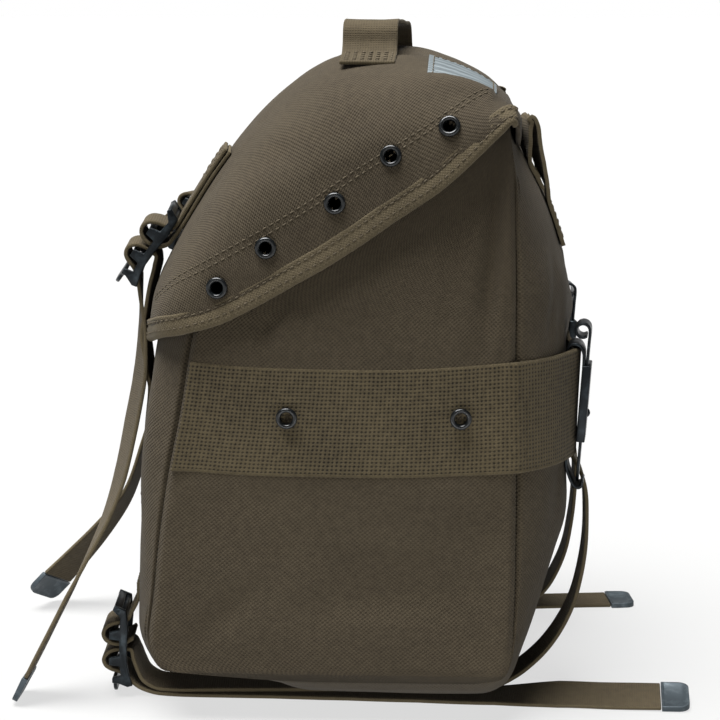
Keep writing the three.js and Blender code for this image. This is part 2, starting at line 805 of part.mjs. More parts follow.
function handle() {
  const deep = (x) => HANDLE.y - (HANDLE.lean * x) / HANDLE.end;
  const onLid = (x, above) => [x, lidTop(x, deep(x)) + FIRST_LAYER + above];
  const bow = HANDLE_BOW.map(({ x, drop }) => [x, HANDLE.top - drop]);
  const foot = (side) => [
    onLid(side * HANDLE.end, EASE),
    onLid(side * (HANDLE.foot + HANDLE.flat), EASE),
    onLid(side * HANDLE.foot, HANDLE.rise),
  ];
  const route = [...foot(1), ...bow, ...foot(-1).toReversed()];
  const places = route.map(([x, z]) => ({ point: vector(x, deep(x), z), across: vector(0, 1, 0) }));
  return ribbon(places, STRAP_WIDTH, WEBBING);
}
add("handle", handle(), "webbing");

// Band round the sides and the back
function bandPath(z) {
  const front = linear(FRONT_SECTIONS, "middle_z", "seam_y", z) + BAND.front_margin;
  const back = linear(BACK_SECTIONS, "middle_z", "seam_y", z);
  const side = BAND_SIDE_SHARES.map((share) => {
    const y = THREE.MathUtils.lerp(front, back, share);
    return vector(panelX(y, z), y, z);
  });
  const turn = BAND_BACK_X.map((x) => vector(x, backY(x, z), z));
  const half = [...side, ...turn];
  const opposite = half.toReversed().map((point) => vector(-point.x, point.y, point.z));
  return [...half, ...opposite];
}

function webbingBand() {
  const middle = (BAND.low + BAND.high) / 2;
  const base = [BAND.high, middle, BAND.low].map(bandPath);
  const lift = (extra) => (column) => {
    const x = Math.abs(base[1][column].x);
    const onBack = base[1][column].y > BAND_GAP.back_from;
    const share = onBack ? THREE.MathUtils.clamp((HALF_WIDTH - x) / BAND_GAP.turn, 0, 1) : 0;
    return THREE.MathUtils.lerp(BAND_GAP.side, BAND_GAP.back, share) + extra;
  };
  return gridWall(offsetGrid(base, lift(BAND.thickness)), offsetGrid(base, lift(0)));
}
function bandSpot({ y, z }) {
  const slope = panelX(y + 1, z) - panelX(y - 1, z);
  const x = panelX(y, z) + BAND_GAP.side + BAND.thickness;
  return { point: vector(x, y, z), out: vector(2, -slope, 0).normalize() };
}
const bandSpots = BAND_EYELETS.map(bandSpot);
add("webbing_band", cutBy(webbingBand(), ...holesAt(bandSpots)), "webbing");
addEyelets("band_eyelet", bandSpots);

// Suspender loops: up the back, over, and down again between the first layer and the canvas
function suspenderLoop(side) {
  const onBack = ({ z, layers }) => place(side, LOOP_X, backY(LOOP_X, z) + FIRST_LAYER + layers * LAYER, z);
  const free = LOOP_TOP.map(({ y, z }) => place(side, LOOP_X, y, z));
  return ribbon([...LOOP_OUTER.map(onBack), ...free, ...LOOP_INNER.map(onBack)], STRAP_WIDTH, WEBBING);
}
for (const side of SIDES) {
  add(`suspender_loop_${side.name}`, suspenderLoop(side.sign), "webbing");
}

// Buckles: two edge rails, three bars across and a tongue. Local Y runs along, Z out from the back.
function buckleShape() {
  const railShape = new THREE.Shape(RAIL_OUTLINE.map(({ along, out }) => new THREE.Vector2(along, out)));
  const railAt = (x) => {
    const rail = new THREE.ExtrudeGeometry(railShape, { depth: RAIL.thickness, bevelEnabled: false });
    rail.applyMatrix4(new THREE.Matrix4().makeBasis(vector(0, 1, 0), vector(0, 0, 1), vector(1, 0, 0)));
    return rail.translate(x, 0, 0);
  };
  const bars = BUCKLE_BARS.map(({ along, out, radius }) => {
    const bar = new THREE.CylinderGeometry(radius, radius, 2 * RAIL.inside + RAIL.thickness, BAR_SIDES);
    return bar.rotateZ(Math.PI / 2).translate(0, along, out);
  });
  const tongueHalf = [
    [TONGUE.root, TONGUE.from],
    [TONGUE.root, TONGUE.from + TONGUE_ENDS.shoulder],
    [TONGUE.tip, TONGUE.to - TONGUE_ENDS.nose],
    [TONGUE.tip - TONGUE_ENDS.nose_inset, TONGUE.to],
  ];
  const tongueOther = tongueHalf.toReversed().map(([x, y]) => [-x, y]);
  const tongueShape = new THREE.Shape(flat([...tongueHalf, ...tongueOther]));
  const tongueDepth = TONGUE.high - TONGUE.low;
  const tongue = new THREE.ExtrudeGeometry(tongueShape, { depth: tongueDepth, bevelEnabled: false });
  tongue.translate(0, 0, TONGUE.low);
  return joined(railAt(RAIL.inside), railAt(-RAIL.inside - RAIL.thickness), ...bars, tongue);
}

// A buckle's own directions. Its roll turns its face outwards, as the cloth under it bows.
function buckleFrame(buckle, side) {
  const roll = side * THREE.MathUtils.degToRad(buckle.roll);
  const along = vector(0, buckle.along_y, buckle.along_z);
  const upright = vector(0, buckle.along_z, -buckle.along_y);
  const out = upright.clone().multiplyScalar(Math.cos(roll)).add(vector(Math.sin(roll), 0, 0));
  const across = out.clone().cross(along);
  return { origin: vector(side * STRAP_X, buckle.y, buckle.z), along, out, across };
}

// A place along a buckle and out from its back.
function onBuckle(buckle, side, spot) {
  const { origin, along, out, across } = buckleFrame(buckle, side);
  return { point: origin.addScaledVector(along, spot.along).addScaledVector(out, spot.out), across };
}

function addBuckle(name, side, buckle) {
  const mesh = add(name, buckleShape(), "hardware");
  const { origin, along, out, across } = buckleFrame(buckle, side);
  mesh.position.copy(origin);
  mesh.quaternion.setFromRotationMatrix(new THREE.Matrix4().makeBasis(across.negate(), along, out));
}

// The folded webbing that holds a lid buckle: its outer layer down the lid, round a bar, and back under.
function lidTab(side) {
  const onLid = (station, layer) => {
    const point = lidOver(station, STRAP_X, FIRST_LAYER + layer * LAYER);
    const across = lidAt(station, STRAP_X + 1).sub(lidAt(station, STRAP_X - 1));
    across.set(across.x, side * across.y, side * across.z).normalize();
    return { point: vector(side * STRAP_X, point.y, point.z), across };
  };
  const onBar = (spot) => onBuckle(LID_BUCKLE, side, spot);
  const places = [
    ...LID_TAB_STATIONS.map((station) => onLid(station, 1)),
    ...LID_TAB_IN.map(onBar),
    ...TAB_LOOP.map(onBar),
    ...LID_TAB_OUT.map(onBar),
    ...LID_TAB_STATIONS.toReversed().map((station) => onLid(station, 0)),
  ];
  return ribbon(places, STRAP_WIDTH, WEBBING, 1);
}

// A place on the body's front, one layer of webbing out.
const onFront = (side, z) => place(side, STRAP_X, frontY(STRAP_X, z) - FIRST_LAYER, z, FRONT_YAW);

// The folded webbing that holds a bottom buckle, sewn into the body's lower front.
function baseTab(side) {
  const onBar = (spot) => onBuckle(BASE_BUCKLE, side, spot);
  const looped = [BASE_TAB_IN, ...TAB_LOOP, BASE_TAB_OUT].map(onBar);
  return ribbon([...BASE_SEWN_HEIGHTS.map((z) => onFront(side, z)), ...looped], STRAP_WIDTH, WEBBING, 1);
}

const tableRoute = (side, rows) => rows.map(({ x, y, z, roll }) => place(side, x, y, z, 0, roll));

function frontStrap(side, freeEnd) {
  const onBar = (spot) => onBuckle(LID_BUCKLE, side, spot);
  return [
    ...FRONT_SEWN_HEIGHTS.map((z) => onFront(side, z)),
    ...OVER_LID.map(({ y, z }) => place(side, STRAP_X, y, z)),
    ...STRAP_LOOP.map(onBar),
    ...tableRoute(side, freeEnd),
  ];
}

function baseStrap(side, bow, freeEnd) {
  const onBar = (spot) => onBuckle(BASE_BUCKLE, side, spot);
  const standing = [...BASE_TOP, ...bow, ...BASE_UNDER];
  return [...tableRoute(side, standing), ...STRAP_LOOP.map(onBar), ...tableRoute(side, freeEnd)];
}

// A metal tip in line with a strap's end.
function addTip(name, places) {
  const end = places.at(-1);
  const along = end.point.clone().sub(places.at(-2).point).normalize();
  const across = end.across.clone().addScaledVector(along, -end.across.dot(along)).normalize();
  const shape = new THREE.Shape();
  const half = TIP.width / 2;
  shape.moveTo(-half, 0);
  shape.lineTo(half, 0);
  shape.lineTo(half, TIP.length - TIP.corner);
  shape.quadraticCurveTo(half, TIP.length, half - TIP.corner, TIP.length);
  shape.lineTo(TIP.corner - half, TIP.length);
  shape.quadraticCurveTo(-half, TIP.length, -half, TIP.length - TIP.corner);
  const push = { depth: TIP.thickness, bevelEnabled: false, curveSegments: 3 };
  const tip = new THREE.ExtrudeGeometry(shape, push);
  tip.translate(0, SEWN_GAP, -TIP.thickness / 2);
  const mesh = add(name, tip, "tip");
  mesh.position.copy(end.point);
  const out = across.clone().cross(along);
  mesh.quaternion.setFromRotationMatrix(new THREE.Matrix4().makeBasis(across, along, out));
}

const STRAP_ROUTES = {
  right: { front: FRONT_FREE_RIGHT, bow: BASE_BOW_RIGHT, base: BASE_FREE_RIGHT },
  left: { front: FRONT_FREE_LEFT, bow: BASE_BOW_LEFT, base: BASE_FREE_LEFT },
};
for (const side of SIDES) {
  const routes = STRAP_ROUTES[side.name];
  const front = frontStrap(side.sign, routes.front);
  const base = baseStrap(side.sign, routes.bow, routes.base);
  add(`lid_tab_${side.name}`, lidTab(side.sign), "webbing");
  addBuckle(`lid_buckle_${side.name}`, side.sign, LID_BUCKLE);
  add(`front_strap_${side.name}`, ribbon(front, STRAP_WIDTH, WEBBING, 1), "webbing");
  addTip(`front_strap_tip_${side.name}`, front);
  add(`base_tab_${side.name}`, baseTab(side.sign), "webbing");
  addBuckle(`base_buckle_${side.name}`, side.sign, BASE_BUCKLE);
  add(`base_strap_${side.name}`, ribbon(base, STRAP_WIDTH, WEBBING, 1), "webbing");
  addTip(`base_strap_tip_${side.name}`, base);
}

// Belt clips. Local X runs across the clip, Y out from the body, Z up.
function sleeveFrame() {
  const tilt = new THREE.Matrix4().makeRotationX(-THREE.MathUtils.degToRad(KEEPER.tilt));
  return tilt.setPosition(0, KEEPER.sleeve_at, KEEPER.mid_z);
}

function block(width, low, high, bottom, top) {
  const box = new THREE.BoxGeometry(width, high - low, top - bottom);
  return box.translate(0, (low + high) / 2, (bottom + top) / 2);
}

const acrossX = vector(1, 0, 0);
const strip = (pairs, width, thickness, steps) =>
  ribbon(
    pairs.map(([y, z]) => ({ point: vector(0, y, z), across: acrossX })),
    width,
    thickness,
    steps,
  );

function keeperFrame() {
  const depth = SLEEVE.inner + SLEEVE.cavity + SLEEVE.outer;
  const slotLow = SLEEVE.inner;
  const slotHigh = SLEEVE.inner + SLEEVE.cavity;
  const tube = block(SLEEVE.width, 0, depth, SLEEVE.low, SLEEVE.high);
  const slot = block(SLEEVE.slot, slotLow, slotHigh, SLEEVE.low - 1, SLEEVE.high + 1);
  const dimple = new THREE.SphereGeometry(DIMPLE.radius, 8, 6);
  dimple.translate(0, depth - DIMPLE.sunk, -DIMPLE.below);
  const sleeve = cutBy(joined(tube, dimple), slot).applyMatrix4(sleeveFrame());
  const route = KEEPER_LEG.map(({ out, up }) => [out, up]);
  const leg = strip(route, KEEPER.strip_width, KEEPER.strip, 2);
  return joined(sleeve, leg);
}

// The sliding bar, straight through the sleeve, with its top curled into a finger ring.
function keeperBar() {
  const middle = SLEEVE.inner + SLEEVE.cavity / 2;
  const route = [
    [middle, BAR.low],
    [middle, BAR.high - BAR.straight],
    [middle, BAR.high],
  ];
  for (let turn = 1; turn <= RING.turns; turn += 1) {
    const angle = THREE.MathUtils.degToRad(turn * RING.step);
    route.push([middle + RING.radius * (Math.cos(angle) - 1), BAR.high + RING.radius * Math.sin(angle)]);
  }
  return strip(route, BAR.width, BAR.thickness, 1).applyMatrix4(sleeveFrame());
}

for (const side of SIDES) {
  const clip = new THREE.Group();
  clip.position.set(side.sign * KEEPER.x, backY(KEEPER.x, KEEPER.mid_z), 0);
  clip.rotation.z = -side.sign * THREE.MathUtils.degToRad(KEEPER.yaw);
  bag.add(clip);
  add(`keeper_frame_${side.name}`, keeperFrame(), "hardware", clip);
  add(`keeper_bar_${side.name}`, keeperBar(), "hardware", clip);
}

export default bag;
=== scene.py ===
"""A stuffed canvas belt bag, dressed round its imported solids.

Cloth, webbing, stitches and black metal fittings are laid out in millimetres and stored in metres, in the
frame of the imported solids: X runs across the bag, Y from its front to the back that lies against the wearer,
Z up. "right" is +X and "left" is -X.
"""
import logging
import math
from bisect import bisect_left
from dataclasses import dataclass, field
from enum import Enum
from functools import lru_cache
from typing import Callable, NamedTuple, Sequence

import bmesh
import bpy
from mathutils import Matrix, Vector, noise


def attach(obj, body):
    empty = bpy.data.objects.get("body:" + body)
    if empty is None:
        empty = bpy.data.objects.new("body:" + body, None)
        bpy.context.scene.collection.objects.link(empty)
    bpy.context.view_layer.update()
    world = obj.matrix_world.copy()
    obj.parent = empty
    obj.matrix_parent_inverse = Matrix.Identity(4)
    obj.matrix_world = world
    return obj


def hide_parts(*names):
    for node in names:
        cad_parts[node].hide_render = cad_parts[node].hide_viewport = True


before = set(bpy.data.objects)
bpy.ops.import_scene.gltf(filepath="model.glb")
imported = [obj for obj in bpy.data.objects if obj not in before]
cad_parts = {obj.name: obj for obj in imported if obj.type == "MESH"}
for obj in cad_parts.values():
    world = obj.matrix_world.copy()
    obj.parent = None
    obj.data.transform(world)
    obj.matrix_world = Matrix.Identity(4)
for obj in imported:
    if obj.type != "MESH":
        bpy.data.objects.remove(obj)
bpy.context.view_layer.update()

LOG = logging.getLogger("belt_bag")
MM = 0.001
PACK = "pack"

# Cloth and webbing, as the solids have them
CANVAS = 2.0
WEBBING = 1.8
STRAP_WIDTH = 25.4
SEWN_GAP = 0.35
LAYER = WEBBING + SEWN_GAP
EASE = 0.3
SEWN_LAYER = WEBBING / 2 + 0.12
THREAD_LAYER = WEBBING / 2 + 0.1
SEAM_REACH = 10.8
BOTH_SEAMS = (-SEAM_REACH, SEAM_REACH)
PATCH_FADE = 9.0
EDGE_INSET = 1.2
BAND_WIDTH = 50.8
HALF_WIDTH = 124.0
STRAP_X = 73.0
FRONT_YAW = 4.5


class Side(Enum):
    """One side of the bag, by the sign of its X."""

    RIGHT = 1
    LEFT = -1

    @property
    def word(self) -> str:
        """The side's name in lower case."""
        return self.name.lower()


class Reading(Enum):
    """How a table is read between its rows."""

    EVEN = "tangents are the mean of the steps on both sides"
    STEADY = "no value passes beyond the rows next to it"

    def slope(self, before: float, after: float) -> float:
        """The tangent at a row.

        Args:
            before: The step that leads to the row.
            after: The step that follows it.

        Returns:
            The change for one row.
        """
        if self is Reading.EVEN:
            return (before + after) / 2
        return 0.0 if before * after <= 0 else 2 * before * after / (before + after)


class WrapRow(NamedTuple):
    """One section of the wrap, from its side seams to its middle."""

    seam_y: float
    seam_z: float
    middle_y: float
    middle_z: float
    half_width: float
    fullness: float
    belly: float


class LidRow(NamedTuple):
    """One section of the lid, from its free edges to its crest."""

    crest_y: float
    crest_z: float
    edge_x: float
    edge_y: float
    edge_z: float
    fullness: float


class Fold(NamedTuple):
    """A soft ridge, or a hollow where its height is below zero, along a short line in space."""

    x: float
    y: float
    z: float
    along_x: float
    along_y: float
    along_z: float
    length: float
    width: float
    height: float


WRAP = tuple(
    WrapRow(*row)
    for row in (
        (-69.5, 190, -90, 190, 120.5, 5, 0),
        (-72.8, 175, -94.2, 175, 124, 6, 0),
        (-77.8, 145, -97.4, 145, 124, 8, 0),
        (-84, 115, -99.8, 115, 124, 8, 0),
        (-88.6, 85, -101.6, 85, 124, 7, 0),
        (-91.4, 60, -103.5, 60, 124, 6, 0),
        (-93.8, 41, -104.8, 39, 124, 5, 0),
        (-92, 32, -100.5, 24, 124, 5, 0),
        (-86.8, 24.6, -90.5, 13, 124, 4, 0.5),
        (-64, 22.4, -76, 4.5, 124, 4, 1),
        (-12, 20, -12, 0, 124, 4, 1),
        (56, 20.5, 58, 0, 124, 4, 1),
        (68, 22.5, 70, 6.5, 124, 4, 0.5),
        (72.5, 32, 78, 22, 124, 4, 0),
        (73.5, 48, 86.4, 48, 124, 5, 0),
        (74, 73, 94.2, 73, 124, 6, 0),
        (74, 95, 100, 95, 124, 6, 0),
        (74, 116, 99, 116, 124, 6, 0),
        (73.5, 144, 98.5, 144, 124, 6, 0),
        (73, 172, 98.5, 172, 124, 6, 0),
        (73, 196, 99.5, 196, 124, 6, 0),
        (72.5, 222, 93.5, 222, 124, 5, 0),
        (72, 241, 86, 241, 124, 5, 0),
        (71.3, 255, 78.5, 255, 123.5, 4, 0),
        (70.2, 265, 72.8, 265, 123, 4, 0),
        (69, 274, 69.8, 274, 122.5, 4, 0),
    )
)
FRONT_ROWS = (0, 7)
FLOOR_ROWS = (10, 11)
BACK_ROWS = (12, 25)

# How high the belly lies above the floor, as a share of its rise to the side seams: (across, share)
# and the same where the bottom rises to the front
BELLY = ((0, 0), (37.2, 0), (49.6, 0.26), (88, 0.28), (101.7, 0.42), (114, 0.7), (124, 1))
BELLY_FRONT = ((0, 0), (37.2, 0.2), (49.6, 0.36), (88, 0.7), (101.7, 0.83), (114, 0.93), (124, 1))

LID = tuple(
    LidRow(*row)
    for row in (
        (75.8, 265.5, 126.5, 73.4, 266.5, 4),
        (75.2, 274, 128.5, 72, 271, 4),
        (69.5, 283, 129.5, 68.5, 274.5, 3.8),
        (58, 293, 130.4, 55.5, 262, 3.6),
        (42, 301, 130.6, 40, 247.5, 3.5),
        (22, 305.8, 130.6, 21, 234.5, 3.5),
        (-6, 303.5, 130.6, 3, 222, 3.5),
        (-22, 297, 130.6, -11, 213, 3.5),
        (-38, 285, 130.6, -26, 204.5, 3.4),
        (-58, 264, 130.6, -42, 195.5, 3.4),
        (-75.5, 237, 130.2, -58, 187.5, 3.4),
        (-88, 214.5, 128.8, -74, 182.5, 3.1),
        (-94.8, 198, 118.5, -87, 179, 2.8),
        (-98.6, 172.5, 93, -94.6, 174, 2.6),
    )
)
LAST_STATION = len(LID) - 1

# Soft hollows of the side panels, as the solids have them: (y, z, reach_y, reach_z, depth)
SIDE_DENTS = ((55, 222, 17, 42, 2.6), (-30, 196, 26, 22, 1.6), (20, 66, 40, 18, 1.2))

# Routes of the straps' free ends, from the buckle to the tip: (x, y, z), with yaw and roll where they turn
BASE_START = ((73, -104, 4.4), (73, -97.5, 1.9), (73.4, -90, 1.1), (75, -40, 1))
FREE_ENDS = {
    ("front", Side.RIGHT): (
        (73, -101.8, 190, 8), (74, -101.2, 176, 14), (76, -102.5, 154, 19), (79, -106.6, 131, 19),
        (82, -111.8, 107, 17), (85, -118, 88, 11), (87, -126, 71, 5), (89, -136, 51), (91, -145.5, 32),
        (92, -155, 13.5),
    ),
    ("front", Side.LEFT): (
        (73, -104.4, 190), (73.4, -105.8, 172), (74, -110, 145, 0, 2), (74.4, -116.5, 112, 0, 6),
        (74.3, -123, 90, 0, 12), (74, -129.5, 70, 0, 18), (73.6, -135.5, 58.5, 0, 24), (73, -147.6, 42.8, 0, 33),
        (72.3, -160.5, 28.3, 0, 40), (71.6, -172, 16.3, 0, 44),
    ),
    ("base", Side.RIGHT): (
        *BASE_START, (77.5, 20, 1), (80, 66, 1), (83, 96, 3, 0, 9), (84.5, 120, 3.1, 0, 9), (86, 144, 3.5, 0, 9),
    ),
    ("base", Side.LEFT): (*BASE_START, (78.5, 20, 1), (84.5, 66, 1), (90, 96, 1), (93, 131, 1.4)),
}

# The standing part of a bottom strap: from the back, bowed out, then under the belly to the buckle: (x, y, z)
BASE_TOP = ((50, 99.95, 133), (50, 100, 124), (50.2, 100.5, 117), (50.5, 103.4, 111.5), (50.8, 106.6, 105))
BASE_BOW = {
    Side.RIGHT: (
        (51.2, 108.6, 97), (51.7, 109.3, 85), (52.6, 108.9, 70), (54, 106.8, 56), (56, 103, 42.5), (58.5, 97, 30.5),
        (60.6, 90, 21), (62.2, 82.2, 13.6), (63.3, 74.6, 8.3),
    ),
    Side.LEFT: (
        (51.2, 108.6, 97), (51.7, 109.4, 84), (52.6, 108.6, 68), (54, 107.3, 56), (56, 104.9, 42),
        (58.5, 100.6, 29.5), (60.6, 94.6, 18.6), (62.2, 86.4, 10.6), (63.3, 76, 5.7),
    ),
}
BASE_UNDER = (
    (64, 64, 3.5), (65, 48, 2.95), (68, -10, 2.95), (71.5, -72, 2.95), (72.4, -88, 3.1), (73, -96.6, 4.3),
    (73, -102.2, 7.9), (73, -104.7, 12.8), (73, -106.6, 18),
)

# The free top of a suspender loop, limp on the left: (y, z, yaw)
LOOP_TOP = {
    Side.RIGHT: ((84.6, 254, 8), (82, 264, 11), (80.9, 271, 11), (79.2, 274.4, 11), (77.7, 271, 11), (78, 263, 9)),
    Side.LEFT: ((86.2, 251, 0), (85.1, 257.5, 0), (84.2, 263, 0), (81.5, 266, 0), (79, 263, 0), (79.9, 257, 0)),
}

# Where the webbing lies on a buckle, and one rail of it seen from its edge: (along, out)
TAB_LOOP = (
    (4.3, 0.1), (5.6, 3.6), (6.6, 7.4), (8.6, 10.7), (11.4, 11.9), (14.3, 10.8), (16.1, 7.8), (16.4, 4), (15.2, 0.4),
)
STRAP_LOOP = (
    (19.6, -1.2), (19.3, 2.4), (19.4, 6.4), (20.9, 9.9), (23.9, 11.9), (27, 10.9), (28.9, 8), (29.9, 4.7),
    (31.6, 1.8), (34.2, -0.8),
)
RAIL_OUTLINE = (
    (-0.8, 0.4), (9, -0.2), (17, 0.6), (25, 0.7), (31, -0.3), (36.2, -1.9), (36.8, 0.6), (34.8, 5.4), (34.8, 7.8),
    (32.2, 7.8), (31.2, 3.6), (26.6, 4.2), (25.9, 9.2), (22.3, 9.2), (21.4, 4.3), (14, 4.1), (13.2, 8.9),
    (9.6, 8.9), (8.6, 4), (2.8, 3.4), (-1, 7), (-3.2, 6),
)

# Folds that the filling and the straps draw in the cloth
PANEL_FOLDS = (
    Fold(124, 62, 222, 0, 0.06, 1, 38, 4.2, -4.2),
    Fold(124, 68, 214, 0, 0.1, 1, 46, 3.0, 1.8),
    Fold(124, 53, 212, 0, 0.16, 1, 30, 5, 1.2),
    Fold(124, -38, 182, 0, 0.3, 1, 13, 4.2, -1.8),
    Fold(124, -30, 184, 0, 0.3, 1, 13, 4.6, 1.3),
    Fold(124, -39, 108, 0, 0.5, -0.8, 11, 4.5, -1.5),
    Fold(124, -30, 104, 0, 0.6, -0.7, 12, 5, 0.9),
    Fold(124, 22, 60, 0, 1, 0.12, 45, 9, -1.2),
    Fold(124, -58, 52, 0, 0.75, 0.66, 24, 6, -1.1),
    Fold(124, 52, 45, 0, -0.5, 0.85, 26, 7, -1.1),
    Fold(124, -10, 190, 0, 1, 0.6, 42, 7, 0.8),
)
WRAP_FOLDS = (
    Fold(0, 98, 180, 1, 0, 0, 46, 12, 4.6),
    Fold(95, 97, 196, 0.35, 0, 1, 26, 7, -1.6),
    Fold(-88, 97, 205, -0.4, 0, 1, 30, 8, -1.7),
    Fold(0, 97, 207, 1, 0, 0.1, 70, 10, -1.3),
    Fold(103, 92, 190, -0.25, 0, 1, 22, 5, -1.8),
    Fold(100, 95, 96, -0.5, 0, 1, 26, 8, -1.4),
    Fold(-104, 95, 92, 0.4, 0, 1, 30, 8, -1.4),
    Fold(10, 99, 70, 1, 0, -0.2, 60, 9, -1.2),
    Fold(106, -96, 138, 0.02, 0, 1, 46, 11, 2.8),
    Fold(-40, -100, 120, 0.6, 0, 1, 34, 8, -1.2),
    Fold(30, -101, 90, -0.5, 0, 1, 38, 8, -1.1),
    Fold(0, -104, 48, 1, 0, 0.05, 70, 7, -1.0),
)
LID_FOLDS = (
    Fold(128, 8, 268, 0, 1, 0.55, 34, 7, 0.7),
    Fold(120, -30, 262, 0.3, -0.6, 0.8, 28, 8, -1.1),
    Fold(90, -66, 250, 0.2, 0.6, -0.8, 30, 7, -0.9),
    Fold(20, -70, 244, 1, 0.1, 0.1, 46, 8, -1.2),
    Fold(-50, -82, 224, 0.9, -0.2, -0.4, 40, 8, -1.2),
    Fold(40, 40, 301, 0.8, 0.6, 0, 40, 9, -1.1),
    Fold(-60, 20, 303, 0.5, 0.85, 0, 40, 9, -1.3),
    Fold(-110, -20, 270, 0.1, 0.7, -0.7, 34, 8, -1.1),
    Fold(112, -62, 222, -0.1, 0.7, 0.7, 22, 5, -0.8),
    Fold(108, 52, 287, 0, -0.86, 0.5, 27, 9, 4.2),
)


class Patch(NamedTuple):
    """A place where webbing lies on the body, so that the cloth is flat under it."""

    front: bool
    x: float
    half_width: float
    low: float
    high: float


# Sewn straps and tabs on the front; loops, clips and strap ends on the back
PATCHES = (
    Patch(True, 73, 14, 86, 176),
    Patch(True, 73, 14, 30, 62),
    Patch(False, 62, 14, 212, 262),
    Patch(False, 74, 12, 98, 176),
    Patch(False, 50, 14, 104, 138),
)


def lerp(first: float, last: float, share: float) -> float:
    """The value at a share of the way from the first to the last."""
    return first + (last - first) * share


def step(low: float, high: float, at: float) -> float:
    """A smooth rise from 0 at the low value to 1 at the high one."""
    share = min(1.0, max(0.0, (at - low) / (high - low)))
    return share * share * (3 - 2 * share)


def between(rows: Sequence[NamedTuple], at: float, reading: Reading) -> NamedTuple:
    """Read a table between its rows.

    Args:
        rows: The table.
        at: The row, with a fraction towards the next.
        reading: How the values run between the rows.

    Returns:
        A row of the same kind.
    """
    index = min(max(int(at), 0), len(rows) - 2)
    share = at - index
    near = [rows[min(max(index + k, 0), len(rows) - 1)] for k in (-1, 0, 1, 2)]
    values = []
    for a, b, c, d in zip(*near):
        rise = c - b
        into, out = reading.slope(b - a, rise), reading.slope(rise, d - c)
        values.append(b + share * (into + share * (3 * rise - 2 * into - out + share * (into + out - 2 * rise))))
    return type(near[1])(*values)


def along_pairs(pairs: Sequence[tuple[float, float]], at: float) -> float:
    """Read the second column of a short table of pairs at a value of the first, in straight lines."""
    index = min(max(bisect_left([pair[0] for pair in pairs], at), 1), len(pairs) - 1)
    (x0, y0), (x1, y1) = pairs[index - 1], pairs[index]
    return lerp(y0, y1, min(1.0, max(0.0, (at - x0) / (x1 - x0))))


def halving(measure: Callable[[float], float], low: float, high: float) -> float:
    """Where a falling measure passes zero.

    Args:
        measure: The measure, above zero at the low end.
        low: The end where it is above zero.
        high: The other end.

    Returns:
        The place, found by halving.
    """
    for _ in range(36):
        middle = (low + high) / 2
        low, high = (middle, high) if measure(middle) > 0 else (low, middle)
    return (low + high) / 2


def even_places(curve: Callable[[float], Vector], first: float, last: float, count: int) -> list[float]:
    """Places on a curve that lie the same distance apart.

    Args:
        curve: The curve.
        first: Its first place.
        last: Its last place.
        count: How many spans lie between the places.

    Returns:
        The places, one more than the spans.
    """
    samples = 12 * count
    places = [lerp(first, last, i / samples) for i in range(samples + 1)]
    points = [curve(at) for at in places]
    lengths = running_lengths(points)
    found = []
    for i in range(count + 1):
        want = lengths[-1] * i / count
        k = min(max(bisect_left(lengths, want), 1), samples)
        part = (want - lengths[k - 1]) / max(1e-9, lengths[k] - lengths[k - 1])
        found.append(lerp(places[k - 1], places[k], part))
    return found


def running_lengths(points: Sequence[Vector]) -> list[float]:
    """The distance along a line of points, at each of them."""
    lengths = [0.0]
    for before, after in zip(points, points[1:]):
        lengths.append(lengths[-1] + (after - before).length)
    return lengths


def folded(point: Vector, folds: Sequence[Fold]) -> float:
    """How far a set of folds lifts a point of the cloth.

    Args:
        point: The point, in millimetres.
        folds: The folds.

    Returns:
        The lift along the cloth's normal, in millimetres.
    """
    lift = 0.0
    for fold in folds:
        way = Vector((fold.along_x, fold.along_y, fold.along_z)).normalized()
        reach = point - Vector((fold.x, fold.y, fold.z))
        ahead = reach.dot(way)
        aside = (reach - way * ahead).length
        if aside < 3 * fold.width and abs(ahead) < 2.5 * fold.length:
            lift += fold.height * math.exp(-((aside / fold.width) ** 2) - (ahead / fold.length) ** 2)
    return lift


def rumple(point: Vector, broad: float, fine: float) -> float:
    """Uneven cloth: a broad wave of about 60 mm and a finer one of about 20 mm, by their heights."""
    return broad * noise.noise(point / 58) + fine * noise.noise(point / 19 + Vector((7, 3, 5)))


def pucker(point: Vector, height: float, edge: float) -> float:
    """Small gathers of the cloth, by their height and the distance from the seam that draws them."""
    return height * noise.noise(point / 6.5) * math.exp(-edge / 9)


def linear_colour(code: str) -> tuple[float, float, float, float]:
    """An sRGB hex colour as linear red, green, blue and alpha."""
    parts = [int(code[i : i + 2], 16) / 255 for i in (1, 3, 5)]
    return (*(p / 12.92 if p <= 0.04045 else ((p + 0.055) / 1.055) ** 2.4 for p in parts), 1.0)


Tree = bpy.types.NodeTree
Socket = bpy.types.NodeSocket
Feed = float | Socket


def feed(tree: Tree, node: bpy.types.Node, links: dict) -> None:
    """Give a node its inputs, by name or number, from another node's output or as a value."""
    for name, value in links.items():
        if isinstance(value, Socket):
            tree.links.new(value, node.inputs[name])
        else:
            node.inputs[name].default_value = value


def add_node(tree: Tree, kind: str, links: dict, **settings: object) -> bpy.types.Node:
    """Add a node.

    Args:
        tree: The node tree.
        kind: The node's type.
        links: For each input, by name or number, another node's output or a value.
        settings: The node's own settings.

    Returns:
        The node.
    """
    made = tree.nodes.new(kind)
    for name, value in settings.items():
        setattr(made, name, value)
    feed(tree, made, links)
    return made


def maths(tree: Tree, operation: str, *values: Feed, **settings: object) -> Socket:
    """One step of arithmetic on numbers and sockets."""
    return add_node(tree, "ShaderNodeMath", dict(enumerate(values)), operation=operation, **settings).outputs[0]


def ramp(tree: Tree, value: Socket, start: float, end: float, low: float, high: float) -> Socket:
    """Take a value from one range to another, and hold it at both ends."""
    links = {"Value": value, "From Min": start, "From Max": end, "To Min": low, "To Max": high}
    return add_node(tree, "ShaderNodeMapRange", links).outputs[0]


